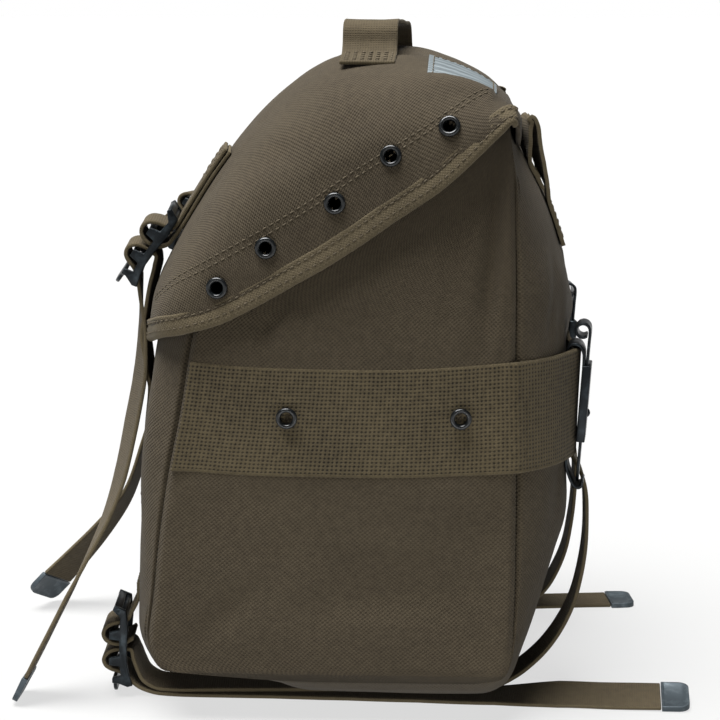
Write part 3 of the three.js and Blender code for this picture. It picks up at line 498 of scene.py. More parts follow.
def blend(tree: Tree, share: Socket, first: str, last: str) -> Socket:
    """A colour between two sRGB hex colours, by a share."""
    links = {0: share, 6: linear_colour(first), 7: linear_colour(last)}
    return add_node(tree, "ShaderNodeMix", links, data_type="RGBA").outputs[2]


def clouds(tree: Tree, where: Socket, size: float, detail: float, roughness: float = 0.5) -> Socket:
    """Soft noise whose spots have a size in millimetres."""
    links = {"Vector": where, "Scale": 1 / (size * MM), "Detail": detail, "Roughness": roughness}
    return add_node(tree, "ShaderNodeTexNoise", links).outputs["Fac"]


# A wave texture's bands repeat after this length at a scale of 1.
WAVE_PERIOD = math.pi / 10


def waves(tree: Tree, where: Socket, pitch: float, way: str, links: dict) -> Socket:
    """Uneven bands across one direction of the map, with a pitch in millimetres."""
    links = {"Vector": where, "Scale": WAVE_PERIOD / (pitch * MM), **links}
    return add_node(tree, "ShaderNodeTexWave", links, wave_type="BANDS", bands_direction=way).outputs["Fac"]


def new_material(name: str) -> tuple[bpy.types.Material, Tree, bpy.types.Node, bpy.types.Node]:
    """A material with an empty tree, save for a principled shader on its output and the coordinates.

    Args:
        name: The material's name.

    Returns:
        The material, its tree, the shader and the coordinates.
    """
    material = bpy.data.materials.new(name)
    material.use_nodes = True
    tree = material.node_tree
    tree.nodes.clear()
    shader = add_node(tree, "ShaderNodeBsdfPrincipled", {})
    add_node(tree, "ShaderNodeOutputMaterial", {"Surface": shader.outputs[0]})
    return material, tree, shader, add_node(tree, "ShaderNodeTexCoord", {})


class Weave(Enum):
    """How a cloth's two sets of yarns cross, with the range over which they rise from their gaps."""

    PLAIN = (0.05, 0.75)
    RIBS = (0.1, 1.2)
    HOLES = (0.1, 1.1)


@dataclass(frozen=True)
class Cloth:
    """Woven cotton: yarns across each other, with dye that took unevenly. Sizes are in millimetres."""

    name: str
    slot: str
    light: str
    dark: str
    across_pitch: float
    along_pitch: float
    relief: float
    gaps: float
    dapple: float
    weave: Weave
    selvedge: float = 0.0
    cloud_size: float = 45.0
    slub_size: float = 3.5
    slub_height: float = 0.35

    @lru_cache(maxsize=None)
    def material(self) -> bpy.types.Material:
        """Build the material once.

        Returns:
            Yarns from the piece's own map, which is in metres, with dark gaps between them.
        """
        material, tree, shader, where = new_material(self.name)
        flat = where.outputs["UV"]
        unevenness = {"Distortion": 1.3, "Detail": 2.0, "Detail Scale": 0.7}
        warp = waves(tree, flat, self.across_pitch, "X", unevenness)
        weft = waves(tree, flat, self.along_pitch, "Y", unevenness)
        yarns = ramp(tree, self.crossing(tree, warp, weft), *self.weave.value, 0.0, 1.0)
        dye = clouds(tree, where.outputs["Object"], self.cloud_size, 3.0)
        slubs = clouds(tree, flat, self.slub_size, 2.0)
        shade = maths(
            tree,
            "ADD",
            ramp(tree, dye, 0.3, 0.7, 0.0, self.dapple),
            ramp(tree, slubs, 0.35, 0.7, 0.0, self.dapple),
        )
        gaps = ramp(tree, yarns, 0.0, 0.9, self.gaps, 0.0)
        shade = maths(tree, "MULTIPLY_ADD", gaps, self.open_weave(tree, flat), shade, use_clamp=True)
        height = maths(tree, "MULTIPLY_ADD", slubs, self.slub_height, yarns)
        bump = add_node(tree, "ShaderNodeBump", {"Strength": 0.75, "Distance": self.relief * MM, "Height": height})
        looks = {
            "Base Color": blend(tree, shade, self.light, self.dark),
            "Normal": bump.outputs[0],
            "Roughness": 0.92,
            "Specular IOR Level": 0.25,
            "Sheen Weight": 0.02,
            "Sheen Roughness": 0.5,
        }
        feed(tree, shader, looks)
        return material

    def crossing(self, tree: Tree, warp: Socket, weft: Socket) -> Socket:
        """How high the yarns stand where the two sets cross.

        Args:
            tree: The material's nodes.
            warp: The yarns along the cloth, from 0 to 1.
            weft: The yarns across it, from 0 to 1.

        Returns:
            Squares that take turns in a plain weave, ridges in ribs, or a low spot wherever both sets dip.
        """
        both = maths(tree, "ADD", warp, weft)
        if self.weave is Weave.HOLES:
            return both
        if self.weave is Weave.RIBS:
            return maths(tree, "MULTIPLY_ADD", weft, 0.8, both)
        turns = maths(tree, "MULTIPLY_ADD", maths(tree, "MULTIPLY", warp, weft), 2.0, 1.0)
        return maths(tree, "SUBTRACT", turns, both)

    def open_weave(self, tree: Tree, flat: Socket) -> Feed:
        """Where gaps show: all over, or only between the close edges of a band.

        Args:
            tree: The material's nodes.
            flat: The piece's own map.

        Returns:
            1 where gaps show, as a number or as a socket.
        """
        if not self.selvedge:
            return 1.0
        half = BAND_WIDTH / 2 * MM
        across = add_node(tree, "ShaderNodeSeparateXYZ", {0: flat}).outputs[0]
        aside = maths(tree, "ABSOLUTE", maths(tree, "SUBTRACT", across, half))
        return maths(tree, "LESS_THAN", aside, half - self.selvedge * MM)


@dataclass(frozen=True)
class Metal:
    """Steel with a dark finish that has rubbed thin here and there. Sizes are in millimetres."""

    name: str
    slot: str
    colour: str
    worn: str
    roughness: float
    metallic: float
    grit: float = 1.6
    spots: float = 6.0
    relief: float = 0.05
    unevenness: float = 0.08

    @lru_cache(maxsize=None)
    def material(self) -> bpy.types.Material:
        """Build the material once.

        Returns:
            A dark coat with lighter rubbed spots and a roughness that follows them.
        """
        material, tree, shader, where = new_material(self.name)
        rubbing = clouds(tree, where.outputs["Object"], self.spots, 5.0, 0.6)
        grain = clouds(tree, where.outputs["Object"], self.grit, 2.0)
        rough, smooth = self.roughness + self.unevenness, self.roughness - self.unevenness
        bump = add_node(tree, "ShaderNodeBump", {"Strength": 0.25, "Distance": self.relief * MM, "Height": grain})
        looks = {
            "Base Color": blend(tree, ramp(tree, rubbing, 0.5, 0.75, 0.0, 0.7), self.colour, self.worn),
            "Roughness": ramp(tree, rubbing, 0.3, 0.75, rough, smooth),
            "Normal": bump.outputs[0],
            "Metallic": self.metallic,
        }
        feed(tree, shader, looks)
        return material


@dataclass(frozen=True)
class Film:
    """Clear vinyl film that has greyed, with soft streaks at a pitch in millimetres."""

    name: str
    slot: str
    colour: str
    streak: str
    pitch: float = 3.2

    @lru_cache(maxsize=None)
    def material(self) -> bpy.types.Material:
        """Build the material once.

        Returns:
            A smooth pale film, streaked along its length.
        """
        material, tree, shader, where = new_material(self.name)
        streaks = waves(tree, where.outputs["UV"], self.pitch, "X", {"Distortion": 1.2, "Detail": 2.0})
        looks = {
            "Base Color": blend(tree, streaks, self.colour, self.streak),
            "Roughness": 0.42,
            "IOR": 1.53,
            "Coat Weight": 0.2,
            "Coat Roughness": 0.34,
        }
        feed(tree, shader, looks)
        return material


@dataclass(frozen=True)
class Thread:
    """Twisted cotton thread, with spots of a size in millimetres."""

    name: str
    slot: str
    light: str
    dark: str
    spots: float = 5.0

    @lru_cache(maxsize=None)
    def material(self) -> bpy.types.Material:
        """Build the material once.

        Returns:
            A matt thread whose stitches differ a little from each other.
        """
        material, tree, shader, where = new_material(self.name)
        share = clouds(tree, where.outputs["Object"], self.spots, 1.0)
        feed(tree, shader, {"Base Color": blend(tree, share, self.light, self.dark), "Roughness": 0.85})
        return material


# Cotton duck: a close plain weave of yarns 1 mm wide, so a matt face with a fine diagonal grain.
DUCK = Cloth("cotton_duck", "canvas", "#423a2c", "#1c150b", 2.1, 1.9, 0.42, 0.46, 0.2, Weave.PLAIN)
# Twill tape: folded round the edge, finer, smoother and a little lighter than the duck.
TAPE = Cloth("cotton_tape", "binding", "#544b39", "#2b2518", 1.6, 1.6, 0.2, 0.26, 0.2, Weave.PLAIN)
# Cotton webbing: close ribs across the strap, so a firm ridged face.
STRAPPING = Cloth("cotton_webbing", "webbing", "#4b4231", "#211b11", 1.2, 1.1, 0.3, 0.42, 0.2, Weave.RIBS)
# The straps' edges: yarns turned back on themselves, so finer and smoother than the face, with fewer dark gaps and a
# colour of their own.
SELVEDGE = Cloth("webbing_selvedge", "webbing", "#574e3b", "#2f291c", 1.2, 0.8, 0.1, 0.25, 0.15, Weave.RIBS)
# Broad webbing: heavier yarns in rows, with dark pin holes where they cross and close edges.
BROAD_WEBBING = Cloth(
    "broad_cotton_webbing", "webbing", "#4e4532", "#130e06", 1.8, 1.9, 0.5, 0.72, 0.24, Weave.HOLES, 1.6
)
# Black oxide on pressed steel: near black with cold grey highlights where fingers and webbing rub it.
BLACK_OXIDE = Metal("black_oxide_steel", "hardware", "#171b1e", "#3a4348", 0.4, 0.75)
# Black enamel on the eyelets: glossy, so a thin pale highlight runs round each rim.
ENAMEL = Metal("black_enamel", "hardware", "#0d0f10", "#1d2225", 0.24, 0.2)
# Parkerised tips: slate grey and duller than the buckles.
PARKERISED = Metal("parkerised_steel", "tip", "#3f474c", "#6c767b", 0.5, 0.6)
# Vinyl film: clear when new, now greyed and streaked along its length.
VINYL = Film("clear_vinyl_film", "clear", "#737b7e", "#51585b")
# Thread: the cloth's own colour, a little lighter, with stitches that differ at random in tone.
COTTON_THREAD = Thread("cotton_thread", "canvas", "#544a38", "#3a3222")


class Net:
    """A grid of cells laid over a surface, measured along and across."""

    def __init__(self, columns: int, rows: int, surface: Callable[[float, float], Vector]) -> None:
        """Lay the grid.

        Args:
            columns: Cells across.
            rows: Cells along.
            surface: The point at a share across and a share along, in millimetres.
        """
        self.bm = bmesh.new()
        made = bmesh.ops.create_grid(self.bm, x_segments=columns, y_segments=rows, size=1.0)
        self.grid: list[list[bmesh.types.BMVert]] = [[None] * (columns + 1) for _ in range(rows + 1)]
        for vert in made["verts"]:
            u, v = (vert.co.x + 1) / 2, (vert.co.y + 1) / 2
            self.grid[round(v * rows)][round(u * columns)] = vert
            vert.co = surface(u, v)
        across = running_lengths([vert.co for vert in self.grid[rows // 2]])
        along = running_lengths([row[columns // 2].co for row in self.grid])
        uv = self.bm.loops.layers.uv.new("map")
        place = {vert: (c, r) for r, row in enumerate(self.grid) for c, vert in enumerate(row)}
        for face in self.bm.faces:
            for loop in face.loops:
                c, r = place[loop.vert]
                loop[uv].uv = (across[c] * MM, along[r] * MM)

    def face_out(self, outward: Callable[[Vector], Vector]) -> None:
        """Turn the faces so that most of them look outwards.

        Args:
            outward: A rough outward direction at a point.
        """
        self.bm.normal_update()
        facing = sum(f.normal.dot(outward(f.calc_center_median())) * f.calc_area() for f in self.bm.faces)
        if facing < 0:
            bmesh.ops.reverse_faces(self.bm, faces=self.bm.faces[:])
            self.bm.normal_update()

    def lift(self, height: Callable[[Vector], float]) -> None:
        """Move each point along its normal by a height that its place gives."""
        self.bm.normal_update()
        for vert, move in [(vert, vert.normal * height(vert.co)) for row in self.grid for vert in row]:
            vert.co += move

    def cut_size(self) -> tuple[float, float, float]:
        """The cloth's width, length and area before it was sewn, in metres."""
        middle = len(self.grid[0]) // 2
        wide = max(running_lengths([vert.co for vert in row])[-1] for row in self.grid)
        long = running_lengths([row[middle].co for row in self.grid])[-1]
        return wide * MM, long * MM, sum(face.calc_area() for face in self.bm.faces) * MM * MM

    def punch(self, centres: Sequence[Vector], radius: float) -> None:
        """Take out the cells that lie wholly inside the given rounds."""
        gone = [
            face
            for face in self.bm.faces
            if any(all((vert.co - centre).length < radius for vert in face.verts) for centre in centres)
        ]
        bmesh.ops.delete(self.bm, geom=gone, context="FACES")


def make_piece(
    name: str,
    bm: bmesh.types.BMesh,
    finish: Cloth | Metal | Film | Thread,
    nodes: Sequence[str] = (),
    body: str = PACK,
) -> bpy.types.Object:
    """Store a mesh as a piece of the bag.

    Args:
        name: The piece's name.
        bm: Its mesh, in millimetres, which is freed.
        finish: What it is made of.
        nodes: The solids that it stands for.
        body: The body that it moves with.

    Returns:
        The object.
    """
    bmesh.ops.scale(bm, vec=(MM, MM, MM), verts=bm.verts[:])
    mesh = bpy.data.meshes.new(name)
    bm.to_mesh(mesh)
    bm.free()
    mesh.shade_smooth()
    mesh.materials.append(finish.material())
    obj = bpy.data.objects.new(name, mesh)
    bpy.context.scene.collection.objects.link(obj)
    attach(obj, body)
    if nodes:
        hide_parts(*nodes)
    LOG.info("%s: %d faces", name, len(mesh.polygons))
    return obj


def thicken(
    obj: bpy.types.Object, thickness: float, offset: float, rounding: float = 0.0, rim: Cloth | None = None
) -> None:
    """Give a sheet its thickness and round its edges.

    Args:
        obj: The piece.
        thickness: Its thickness in millimetres.
        offset: -1 keeps the given face outside, 0 in the middle.
        rounding: The radius of its edges in millimetres, or 0 for none.
        rim: What its edges are made of, if not of the same as its faces.
    """
    solid = obj.modifiers.new("thickness", "SOLIDIFY")
    solid.thickness = thickness * MM
    solid.offset = offset
    solid.use_even_offset = offset == 0
    if rim:
        obj.data.materials.append(rim.material())
        solid.material_offset_rim = 1
    if rounding:
        soften(obj, rounding, 2)


def soften(obj: bpy.types.Object, width: float, segments: int) -> None:
    """Round the sharp edges of a piece by a width in millimetres."""
    bevel = obj.modifiers.new("rounding", "BEVEL")
    bevel.width = width * MM
    bevel.segments = segments
    bevel.limit_method = "ANGLE"
    bevel.angle_limit = math.radians(38)
    bevel.harden_normals = False


def make_canvas(name: str, net: Net, node: str, cut: tuple[float, float, float]) -> None:
    """Store a sheet of canvas that the filling stretches.

    Args:
        name: The piece's name.
        net: Its outside.
        node: The solid that it stands for.
        cut: Its width, length and area in metres.
    """
    wide, long, area = cut
    obj = make_piece(name, net.bm, DUCK, [node])
    thicken(obj, CANVAS, -1)
    LOG.info("%s was cut %.0f mm by %.0f mm, %.3f m2", name, wide / MM, long / MM, area)


def make_webbing(name: str, net: Net, node: str) -> None:
    """Store a length of strap, with edges of turned yarns, that stands for a solid."""
    thicken(make_piece(name, net.bm, STRAPPING, [node]), WEBBING, 0, 0.5, SELVEDGE)


def plate(bm: bmesh.types.BMesh, outline: Sequence[tuple], push: tuple[float, float, float]) -> None:
    """Add a flat outline pushed to a thickness.

    Args:
        bm: The mesh to add to.
        outline: Its corners.
        push: The way and length of the push.
    """
    face = bm.faces.new([bm.verts.new(corner) for corner in outline])
    pushed = bmesh.ops.extrude_face_region(bm, geom=[face])
    bmesh.ops.translate(bm, vec=push, verts=[v for v in pushed["geom"] if isinstance(v, bmesh.types.BMVert)])


def frame_of(x: Vector, y: Vector, z: Vector, origin: Vector) -> Matrix:
    """The transform that carries the three axes to the given ones at an origin."""
    return Matrix.Translation(origin) @ Matrix((x, y, z)).transposed().to_4x4()


def place_mesh(bm: bmesh.types.BMesh, transform: Matrix) -> None:
    """Move a whole mesh."""
    bmesh.ops.transform(bm, matrix=transform, verts=bm.verts[:])


class Place(NamedTuple):
    """A place on a route: a point, and the direction of the webbing's width there."""

    point: Vector
    across: Vector


def turned(side: Side, x: float, y: float, z: float, yaw: float = 0.0, roll: float = 0.0) -> Place:
    """A place beside the bag.

    Args:
        side: The side of the bag.
        x: Across, from the middle.
        y: Depth.
        z: Height.
        yaw: Degrees that the width turns towards the back.
        roll: Degrees that lift the inner edge.

    Returns:
        The place.
    """
    turn, tip = math.radians(yaw), math.radians(roll)
    sign = side.value
    across = Vector((math.cos(turn) * math.cos(tip), sign * math.sin(turn), -sign * math.sin(tip)))
    return Place(Vector((sign * x, y, z)), across)


def through(points: Sequence[Vector], index: int, share: float) -> Vector:
    """A smooth curve through points, which slows where they crowd.

    Args:
        points: The points.
        index: The span.
        share: The share of the way along the span.

    Returns:
        The point on the curve.
    """
    b, c = points[index], points[index + 1]
    a = points[index - 1] if index else b * 2 - c
    d = points[index + 2] if index + 2 < len(points) else c * 2 - b
    before, here, after = ((q - p).length ** 0.5 for p, q in ((a, b), (b, c), (c, d)))
    into = ((b - a) / before - (c - a) / (before + here) + (c - b) / here) * here
    out = ((c - b) / here - (d - b) / (here + after) + (d - c) / after) * here
    rise = c - b
    return b + (into + (rise * 3 - into * 2 - out + (into + out - rise * 2) * share) * share) * share


class Ribbon:
    """Flat webbing or strip along a route."""

    def __init__(self, places: Sequence[Place], width: float, steps: int = 6) -> None:
        """Lay the route.

        Args:
            places: The places that it passes.
            width: The ribbon's width in millimetres.
            steps: Spans between two places.
        """
        self.width = width
        points = [place.point for place in places]
        count = (len(places) - 1) * steps
        self.centres: list[Vector] = []
        across: list[Vector] = []
        for i in range(count + 1):
            index = min(i // steps, len(places) - 2)
            share = i / steps - index
            self.centres.append(through(points, index, share))
            across.append(places[index].across.lerp(places[index + 1].across, share))
        self.across: list[Vector] = []
        self.out: list[Vector] = []
        for i, centre in enumerate(self.centres):
            before, after = self.centres[max(0, i - 1)], self.centres[min(count, i + 1)]
            tangent = (after - before).normalized()
            level = (across[i] - tangent * across[i].dot(tangent)).normalized()
            self.across.append(level)
            self.out.append(tangent.cross(level))
        self.lengths = running_lengths(self.centres)

    @property
    def length(self) -> float:
        """The route's length in millimetres."""
        return self.lengths[-1]

    def net(
        self,
        cells: int,
        crown: Callable[[float, float], float] | None = None,
        taper: Callable[[float], float] | None = None,
    ) -> Net:
        """A grid along the middle of the ribbon.

        Args:
            cells: Cells across.
            crown: The lift at a share across, from -1 to 1, and a length along.
            taper: The share of the full width at a length along.

        Returns:
            The grid.
        """
        last = len(self.centres) - 1

        def surface(u: float, v: float) -> Vector:
            """The ribbon's point at a share across and along."""
            i = round(v * last)
            wide = self.width / 2 * (taper(self.lengths[i]) if taper else 1.0)
            lift = crown(2 * u - 1, self.lengths[i]) if crown else 0.0
            return self.centres[i] + self.across[i] * (2 * u - 1) * wide + self.out[i] * lift

        return Net(cells, last, surface)

    def line(self, offset: float, lift: float, start: float, end: float) -> tuple[list[Vector], list[Vector]]:
        """A line on the ribbon for stitches.

        Args:
            offset: Its distance from the middle, across.
            lift: Its height over the middle of the thickness.
            start: The length where it starts.
            end: The length where it ends.

        Returns:
            Its points and the normals there.
        """
        keep = [i for i, length in enumerate(self.lengths) if start <= length <= end]
        sign = math.copysign(1.0, lift)
        points = [self.centres[i] + self.across[i] * offset + self.out[i] * lift for i in keep]
        return points, [self.out[i] * sign for i in keep]

    def cross_line(self, at: float, lift: float, reach: float) -> tuple[list[Vector], list[Vector]]:
        """A line across the ribbon at a length, as far as a reach on both sides of its middle."""
        i = min(bisect_left(self.lengths, at), len(self.lengths) - 1)
        sign = math.copysign(1.0, lift)
        points = [self.centres[i] + self.across[i] * reach * k + self.out[i] * lift for k in (-1, -0.5, 0, 0.5, 1)]
        return points, [self.out[i] * sign] * len(points)


@dataclass
class Stitching:
    """Rows of short raised stitches, gathered into one mesh."""

    name: str
    length: float = 2.5
    pitch: float = 3.5
    thick: float = 0.75
    places: list[Matrix] = field(default_factory=list)

    def row(self, points: Sequence[Vector], normals: Sequence[Vector], slant: float = 0.0) -> None:
        """Add a row of stitches along a line.

        Args:
            points: The line.
            normals: The cloth's outward direction at each point.
            slant: Millimetres that each stitch leans to one side, as in a zigzag.
        """
        lengths = running_lengths(points)
        count = int((lengths[-1] - self.length / 2) / self.pitch)
        for n in range(max(0, count) + 1):
            want = min(lengths[-1] - 1e-6, self.length / 2 + n * self.pitch)
            k = min(max(bisect_left(lengths, want), 1), len(points) - 1)
            share = (want - lengths[k - 1]) / max(1e-6, lengths[k] - lengths[k - 1])
            along = (points[k] - points[k - 1]).normalized()
            out = normals[k - 1].lerp(normals[k], share)
            out = (out - along * out.dot(along)).normalized()
            aside = out.cross(along)
            if slant:
                along = (along + aside * (slant if n % 2 else -slant) / self.length).normalized()
                aside = out.cross(along)
            centre = points[k - 1].lerp(points[k], share)
            sizes = (self.length / 2, self.thick / 2, self.thick / 2.2)
            axes = [axis * size for axis, size in zip((along, aside, out), sizes)]
            self.places.append(frame_of(*axes, centre))

    def sew(
        self,
        ribbon: Ribbon,
        lift: float,
        crosses: Sequence[float],
        reach: float,
        slant: float,
        offsets: Sequence[float] = (),
    ) -> None:
        """Sew a ribbon down.

        Args:
            ribbon: The ribbon.
            lift: The stitches' height over the middle of its thickness.
            crosses: The lengths of the rows across it.
            reach: How far these go on both sides of its middle.
            slant: How far their stitches lean.
            offsets: Where rows run along it, from the first row across to the last.
        """
        for at in crosses:
            self.row(*ribbon.cross_line(at, lift, reach), slant=slant)
        for offset in offsets:
            self.row(*ribbon.line(offset, lift, crosses[0], crosses[-1]))

    def build(self) -> bpy.types.Object:
        """Model the stitches.

        Returns:
            One piece with all of them.
        """
        bm = bmesh.new()
        for place in self.places:
            bmesh.ops.create_icosphere(bm, subdivisions=1, radius=1.0, matrix=place)
        bmesh.ops.recalc_face_normals(bm, faces=bm.faces[:])
        return make_piece(self.name, bm, COTTON_THREAD)


def belly_share(across: float, y: float) -> float:
    """How high the belly lies at a distance from its middle and a depth, as a share of its rise."""
    return lerp(along_pairs(BELLY, across), along_pairs(BELLY_FRONT, across), step(-20, -64, y))


def wrap_point(at: float, q: float) -> Vector:
    """A point of the wrap.

    Args:
        at: The row of its table.
        q: The place across, from -1 to 1.

    Returns:
        The point in millimetres.
    """
    row = between(WRAP, at, Reading.STEADY)
    bowed = 1 - abs(q) ** row.fullness
    resting = 1 - belly_share(abs(q) * HALF_WIDTH, row.middle_y)
    share = lerp(bowed, resting, row.belly)
    return Vector((row.half_width * q, lerp(row.seam_y, row.middle_y, share), lerp(row.seam_z, row.middle_z, share)))


@lru_cache(maxsize=None)
def wrap_row_at(rows: tuple[int, int], z: float, name: str) -> float:
    """The row of the front or the back at a height.

    Args:
        rows: The first and last row of that part of the wrap.
        z: The height.
        name: The column that holds the height, at the seam or in the middle.

    Returns:
        The row with a fraction.
    """
    first, last = rows
    rising = getattr(WRAP[last], name) > getattr(WRAP[first], name)
    sign = 1 if rising else -1
    return halving(lambda at: sign * (z - getattr(between(WRAP, at, Reading.STEADY), name)), first, last)


def wrap_y(rows: tuple[int, int], x: float, z: float) -> float:
    """The depth of the wrap's front or back at a place across and a height."""
    row = between(WRAP, wrap_row_at(rows, z, "middle_z"), Reading.STEADY)
    return lerp(row.seam_y, row.middle_y, 1 - min(1.0, abs(x / row.half_width)) ** row.fullness)


def front_y(x: float, z: float) -> float:
    """The depth of the bag's front."""
    return wrap_y(FRONT_ROWS, x, z)


def back_y(x: float, z: float) -> float:
    """The depth of the bag's back."""
    return wrap_y(BACK_ROWS, x, z)


def seam_y(rows: tuple[int, int], z: float) -> float:
    """The depth of a side seam at a height."""
    return between(WRAP, wrap_row_at(rows, z, "seam_z"), Reading.STEADY).seam_y


@dataclass
class BodyShell:
    """The canvas body: a wrap that makes front, bottom and back, and two side panels."""

    panel_half: float = 123.4
    bulge: float = 5.6
    middle: tuple[float, float] = (-6.0, 118.0)
    reach: tuple[float, float] = (84.0, 106.0)
    roll: tuple[float, float] = (2.8, 1.3)
    shoulder: tuple[float, float] = (1.4, 7.0)
    dip: tuple[float, float] = (2.8, 1.8)
    seam_gap: float = 0.25
    crowding: float = 0.36
    band_z: tuple[float, float] = (110.0, 174.0)
    band_fade: float = 7.0
    band_calm: float = 0.85
    wrap_rumple: tuple[float, float] = (1.4, 0.45)
    panel_rumple: tuple[float, float] = (1.1, 0.4)
    panel_low: float = 20.05
    panel_high: float = 273.0
    wrap_cells: tuple[int, int] = (140, 190)
    panel_cells: tuple[int, int] = (110, 130)

    def panel_x(self, y: float, z: float) -> float:
        """How far out a side panel stands at a depth and a height, before its folds."""
        swell = lambda at, middle, reach: max(0.0, 1 - ((at - middle) / reach) ** 2)
        full = swell(y, self.middle[0], self.reach[0]) * swell(z, self.middle[1], self.reach[1])
        dents = sum(depth * swell(y, at_y, ry) * swell(z, at_z, rz) for at_y, at_z, ry, rz, depth in SIDE_DENTS)
        return self.panel_half + self.bulge * full - dents

    def panel_ends(self, z: float) -> tuple[float, float]:
        """The depths of a side panel's front and back edge at a height."""
        front_top, back_top = WRAP[0], WRAP[-1]
        if z > WRAP[BACK_ROWS[0]].seam_z:
            back = seam_y(BACK_ROWS, z)
        else:
            back = self._corner_y(FLOOR_ROWS[1], BACK_ROWS[0], z)
        if z > front_top.seam_z:
            share = (z - front_top.seam_z) / (back_top.seam_z - front_top.seam_z)
            front = lerp(front_top.seam_y, back_top.seam_y, share)
        elif z > WRAP[FRONT_ROWS[1]].seam_z:
            front = seam_y(FRONT_ROWS, z)
        else:
            front = self._corner_y(FLOOR_ROWS[0], FRONT_ROWS[1], z)
        return front, back

    def _corner_y(self, low_row: int, high_row: int, z: float) -> float:
        """The depth of the seam where it turns into the bottom, between two rows."""
        low, high = sorted((low_row, high_row), key=lambda row: WRAP[row].seam_z)
        at = halving(lambda t: z - between(WRAP, lerp(low, high, t), Reading.STEADY).seam_z, 0.0, 1.0)
        return between(WRAP, lerp(low, high, at), Reading.STEADY).seam_y

    def skin_x(self, side: Side, y: float, z: float) -> float:
        """How far out a side panel stands, with its folds and its seam."""
        front, back = self.panel_ends(z)
        edge = min(y - front, back - y, (z - self.panel_low) * 1.2)
        base = self.panel_x(y, z)
        point = Vector((base, y, z))
        low, high = self.band_z
        under_band = step(low, low + self.band_fade, z) * step(high, high - self.band_fade, z)
        calm = step(1.0, 9.0, edge) * (1 - self.band_calm * under_band)
        elsewhere = Vector((0, 0, 400 * (side.value - 1)))
        soft = folded(point, PANEL_FOLDS) + rumple(point + elsewhere, *self.panel_rumple)
        gathers = pucker(Vector((y, z, 11 * side.value)), 0.35, edge)
        return base + soft * calm + gathers * step(0.5, 3, edge) - self.sunk(self.dip, edge, z)

    @staticmethod
    def sunk(form: tuple[float, float], edge: float, z: float) -> float:
        """How deep a seam is sunk at a distance from it: deep at the sides, faint at the bottom and the top."""
        depth, reach = form
        return depth * lerp(0.2, 1, step(24, 46, z) * step(262, 244, z)) * math.exp(-((edge / reach) ** 2))

    def build_wrap(self) -> None:
        """Model the front, the bottom and the back as one sheet."""
        columns, rows = self.wrap_cells
        stations = even_places(lambda at: wrap_point(at, 0.55), 0, len(WRAP) - 1, rows)

        def surface(u: float, v: float) -> Vector:
            """The wrap's point, rolled in at the seams."""
            q = self.crowded(2 * u - 1)
            point = wrap_point(stations[round(v * rows)], q)
            edge = (1 - abs(q)) * HALF_WIDTH
            rolled = self.sunk(self.roll, edge, point.z) + self.sunk(self.shoulder, edge, point.z)
            point.x -= math.copysign(rolled, q)
            return point

        def height(point: Vector) -> float:
            """Folds and rumples, calm on the floor, at the seams and under what is sewn on."""
            edge = max(0.0, HALF_WIDTH - abs(point.x))
            calm = step(2, 12, point.z) * step(1, 12, edge) * (1 - self.covered(point))
            soft = folded(point, WRAP_FOLDS) + rumple(point, *self.wrap_rumple)
            return soft * calm + pucker(point, 0.4, edge) * step(0.5, 4, edge) * step(2, 12, point.z)

        net = Net(columns, rows, surface)
        net.face_out(lambda p: Vector((0, p.y, p.z - 120)))
        net.lift(height)
        make_canvas("body_wrap_cloth", net, "body_wrap", net.cut_size())

    def crowded(self, t: float) -> float:
        """A place from -1 to 1 with its neighbours crowded towards both ends."""
        return (1 + self.crowding) * t - self.crowding * t**3

    @staticmethod
    def covered(point: Vector) -> float:
        """How far webbing covers the body at a point, from 0 to 1."""
        most = 0.0
        for patch in PATCHES:
            if (point.y < 0) is patch.front:
                aside = abs(abs(point.x) - patch.x) - patch.half_width
                below = max(patch.low - point.z, point.z - patch.high)
                most = max(most, step(PATCH_FADE, 0, max(aside, below)))
        return most

    def build_panel(self, side: Side) -> None:
        """Model one side panel."""
        columns, rows = self.panel_cells
        shares = [0.28 * v + 0.72 * v**1.35 for v in (i / rows for i in range(rows + 1))]
        heights = [lerp(self.panel_low, self.panel_high, share) for share in shares]

        def surface(u: float, v: float) -> Vector:
            """The panel's point."""
            z = heights[round(v * rows)]
            front, back = self.panel_ends(z)
            share = (self.crowded(2 * u - 1) + 1) / 2
            y = lerp(front + self.seam_gap, back - self.seam_gap, share)
            return Vector((side.value * self.skin_x(side, y, z), y, z))

        net = Net(columns, rows, surface)
        net.face_out(lambda p: Vector((side.value, 0, 0)))
        make_canvas(f"side_panel_cloth_{side.word}", net, f"side_panel_{side.word}", net.cut_size())

    def build(self) -> None:
        """Model the whole body."""
        self.build_wrap()
        for side in Side:
            self.build_panel(side)


@lru_cache(maxsize=None)
def lid_section(station: float) -> LidRow:
    """The lid's section at a station."""
    return between(LID, station, Reading.EVEN)


def lid_point(station: float, side: int, share: float) -> Vector:
    """A point of the lid's outside.

    Args:
        station: The row of its table.
        side: 1 for the right half, -1 for the left.
        share: The share of the way from the edge to the crest.

    Returns:
        The point in millimetres.
    """
    row = lid_section(station)
    across = max(0.0, 1 - share**row.fullness) ** (1 / row.fullness)
    return Vector(
        (side * row.edge_x * across, lerp(row.edge_y, row.crest_y, share), lerp(row.edge_z, row.crest_z, share))
    )


def lid_at(station: float, x: float) -> Vector:
    """The lid's point at a place across the bag."""
    row = lid_section(station)
    across = min(1.0, abs(x) / row.edge_x)
    return lid_point(station, 1 if x >= 0 else -1, max(0.0, 1 - across**row.fullness) ** (1 / row.fullness))


def lid_normal(station: float, x: float) -> Vector:
    """The lid's outward direction at a place across the bag."""
    forward = lid_at(station + 0.05, x) - lid_at(station - 0.05, x)
    return forward.cross(lid_at(station, x + 1) - lid_at(station, x - 1)).normalized()


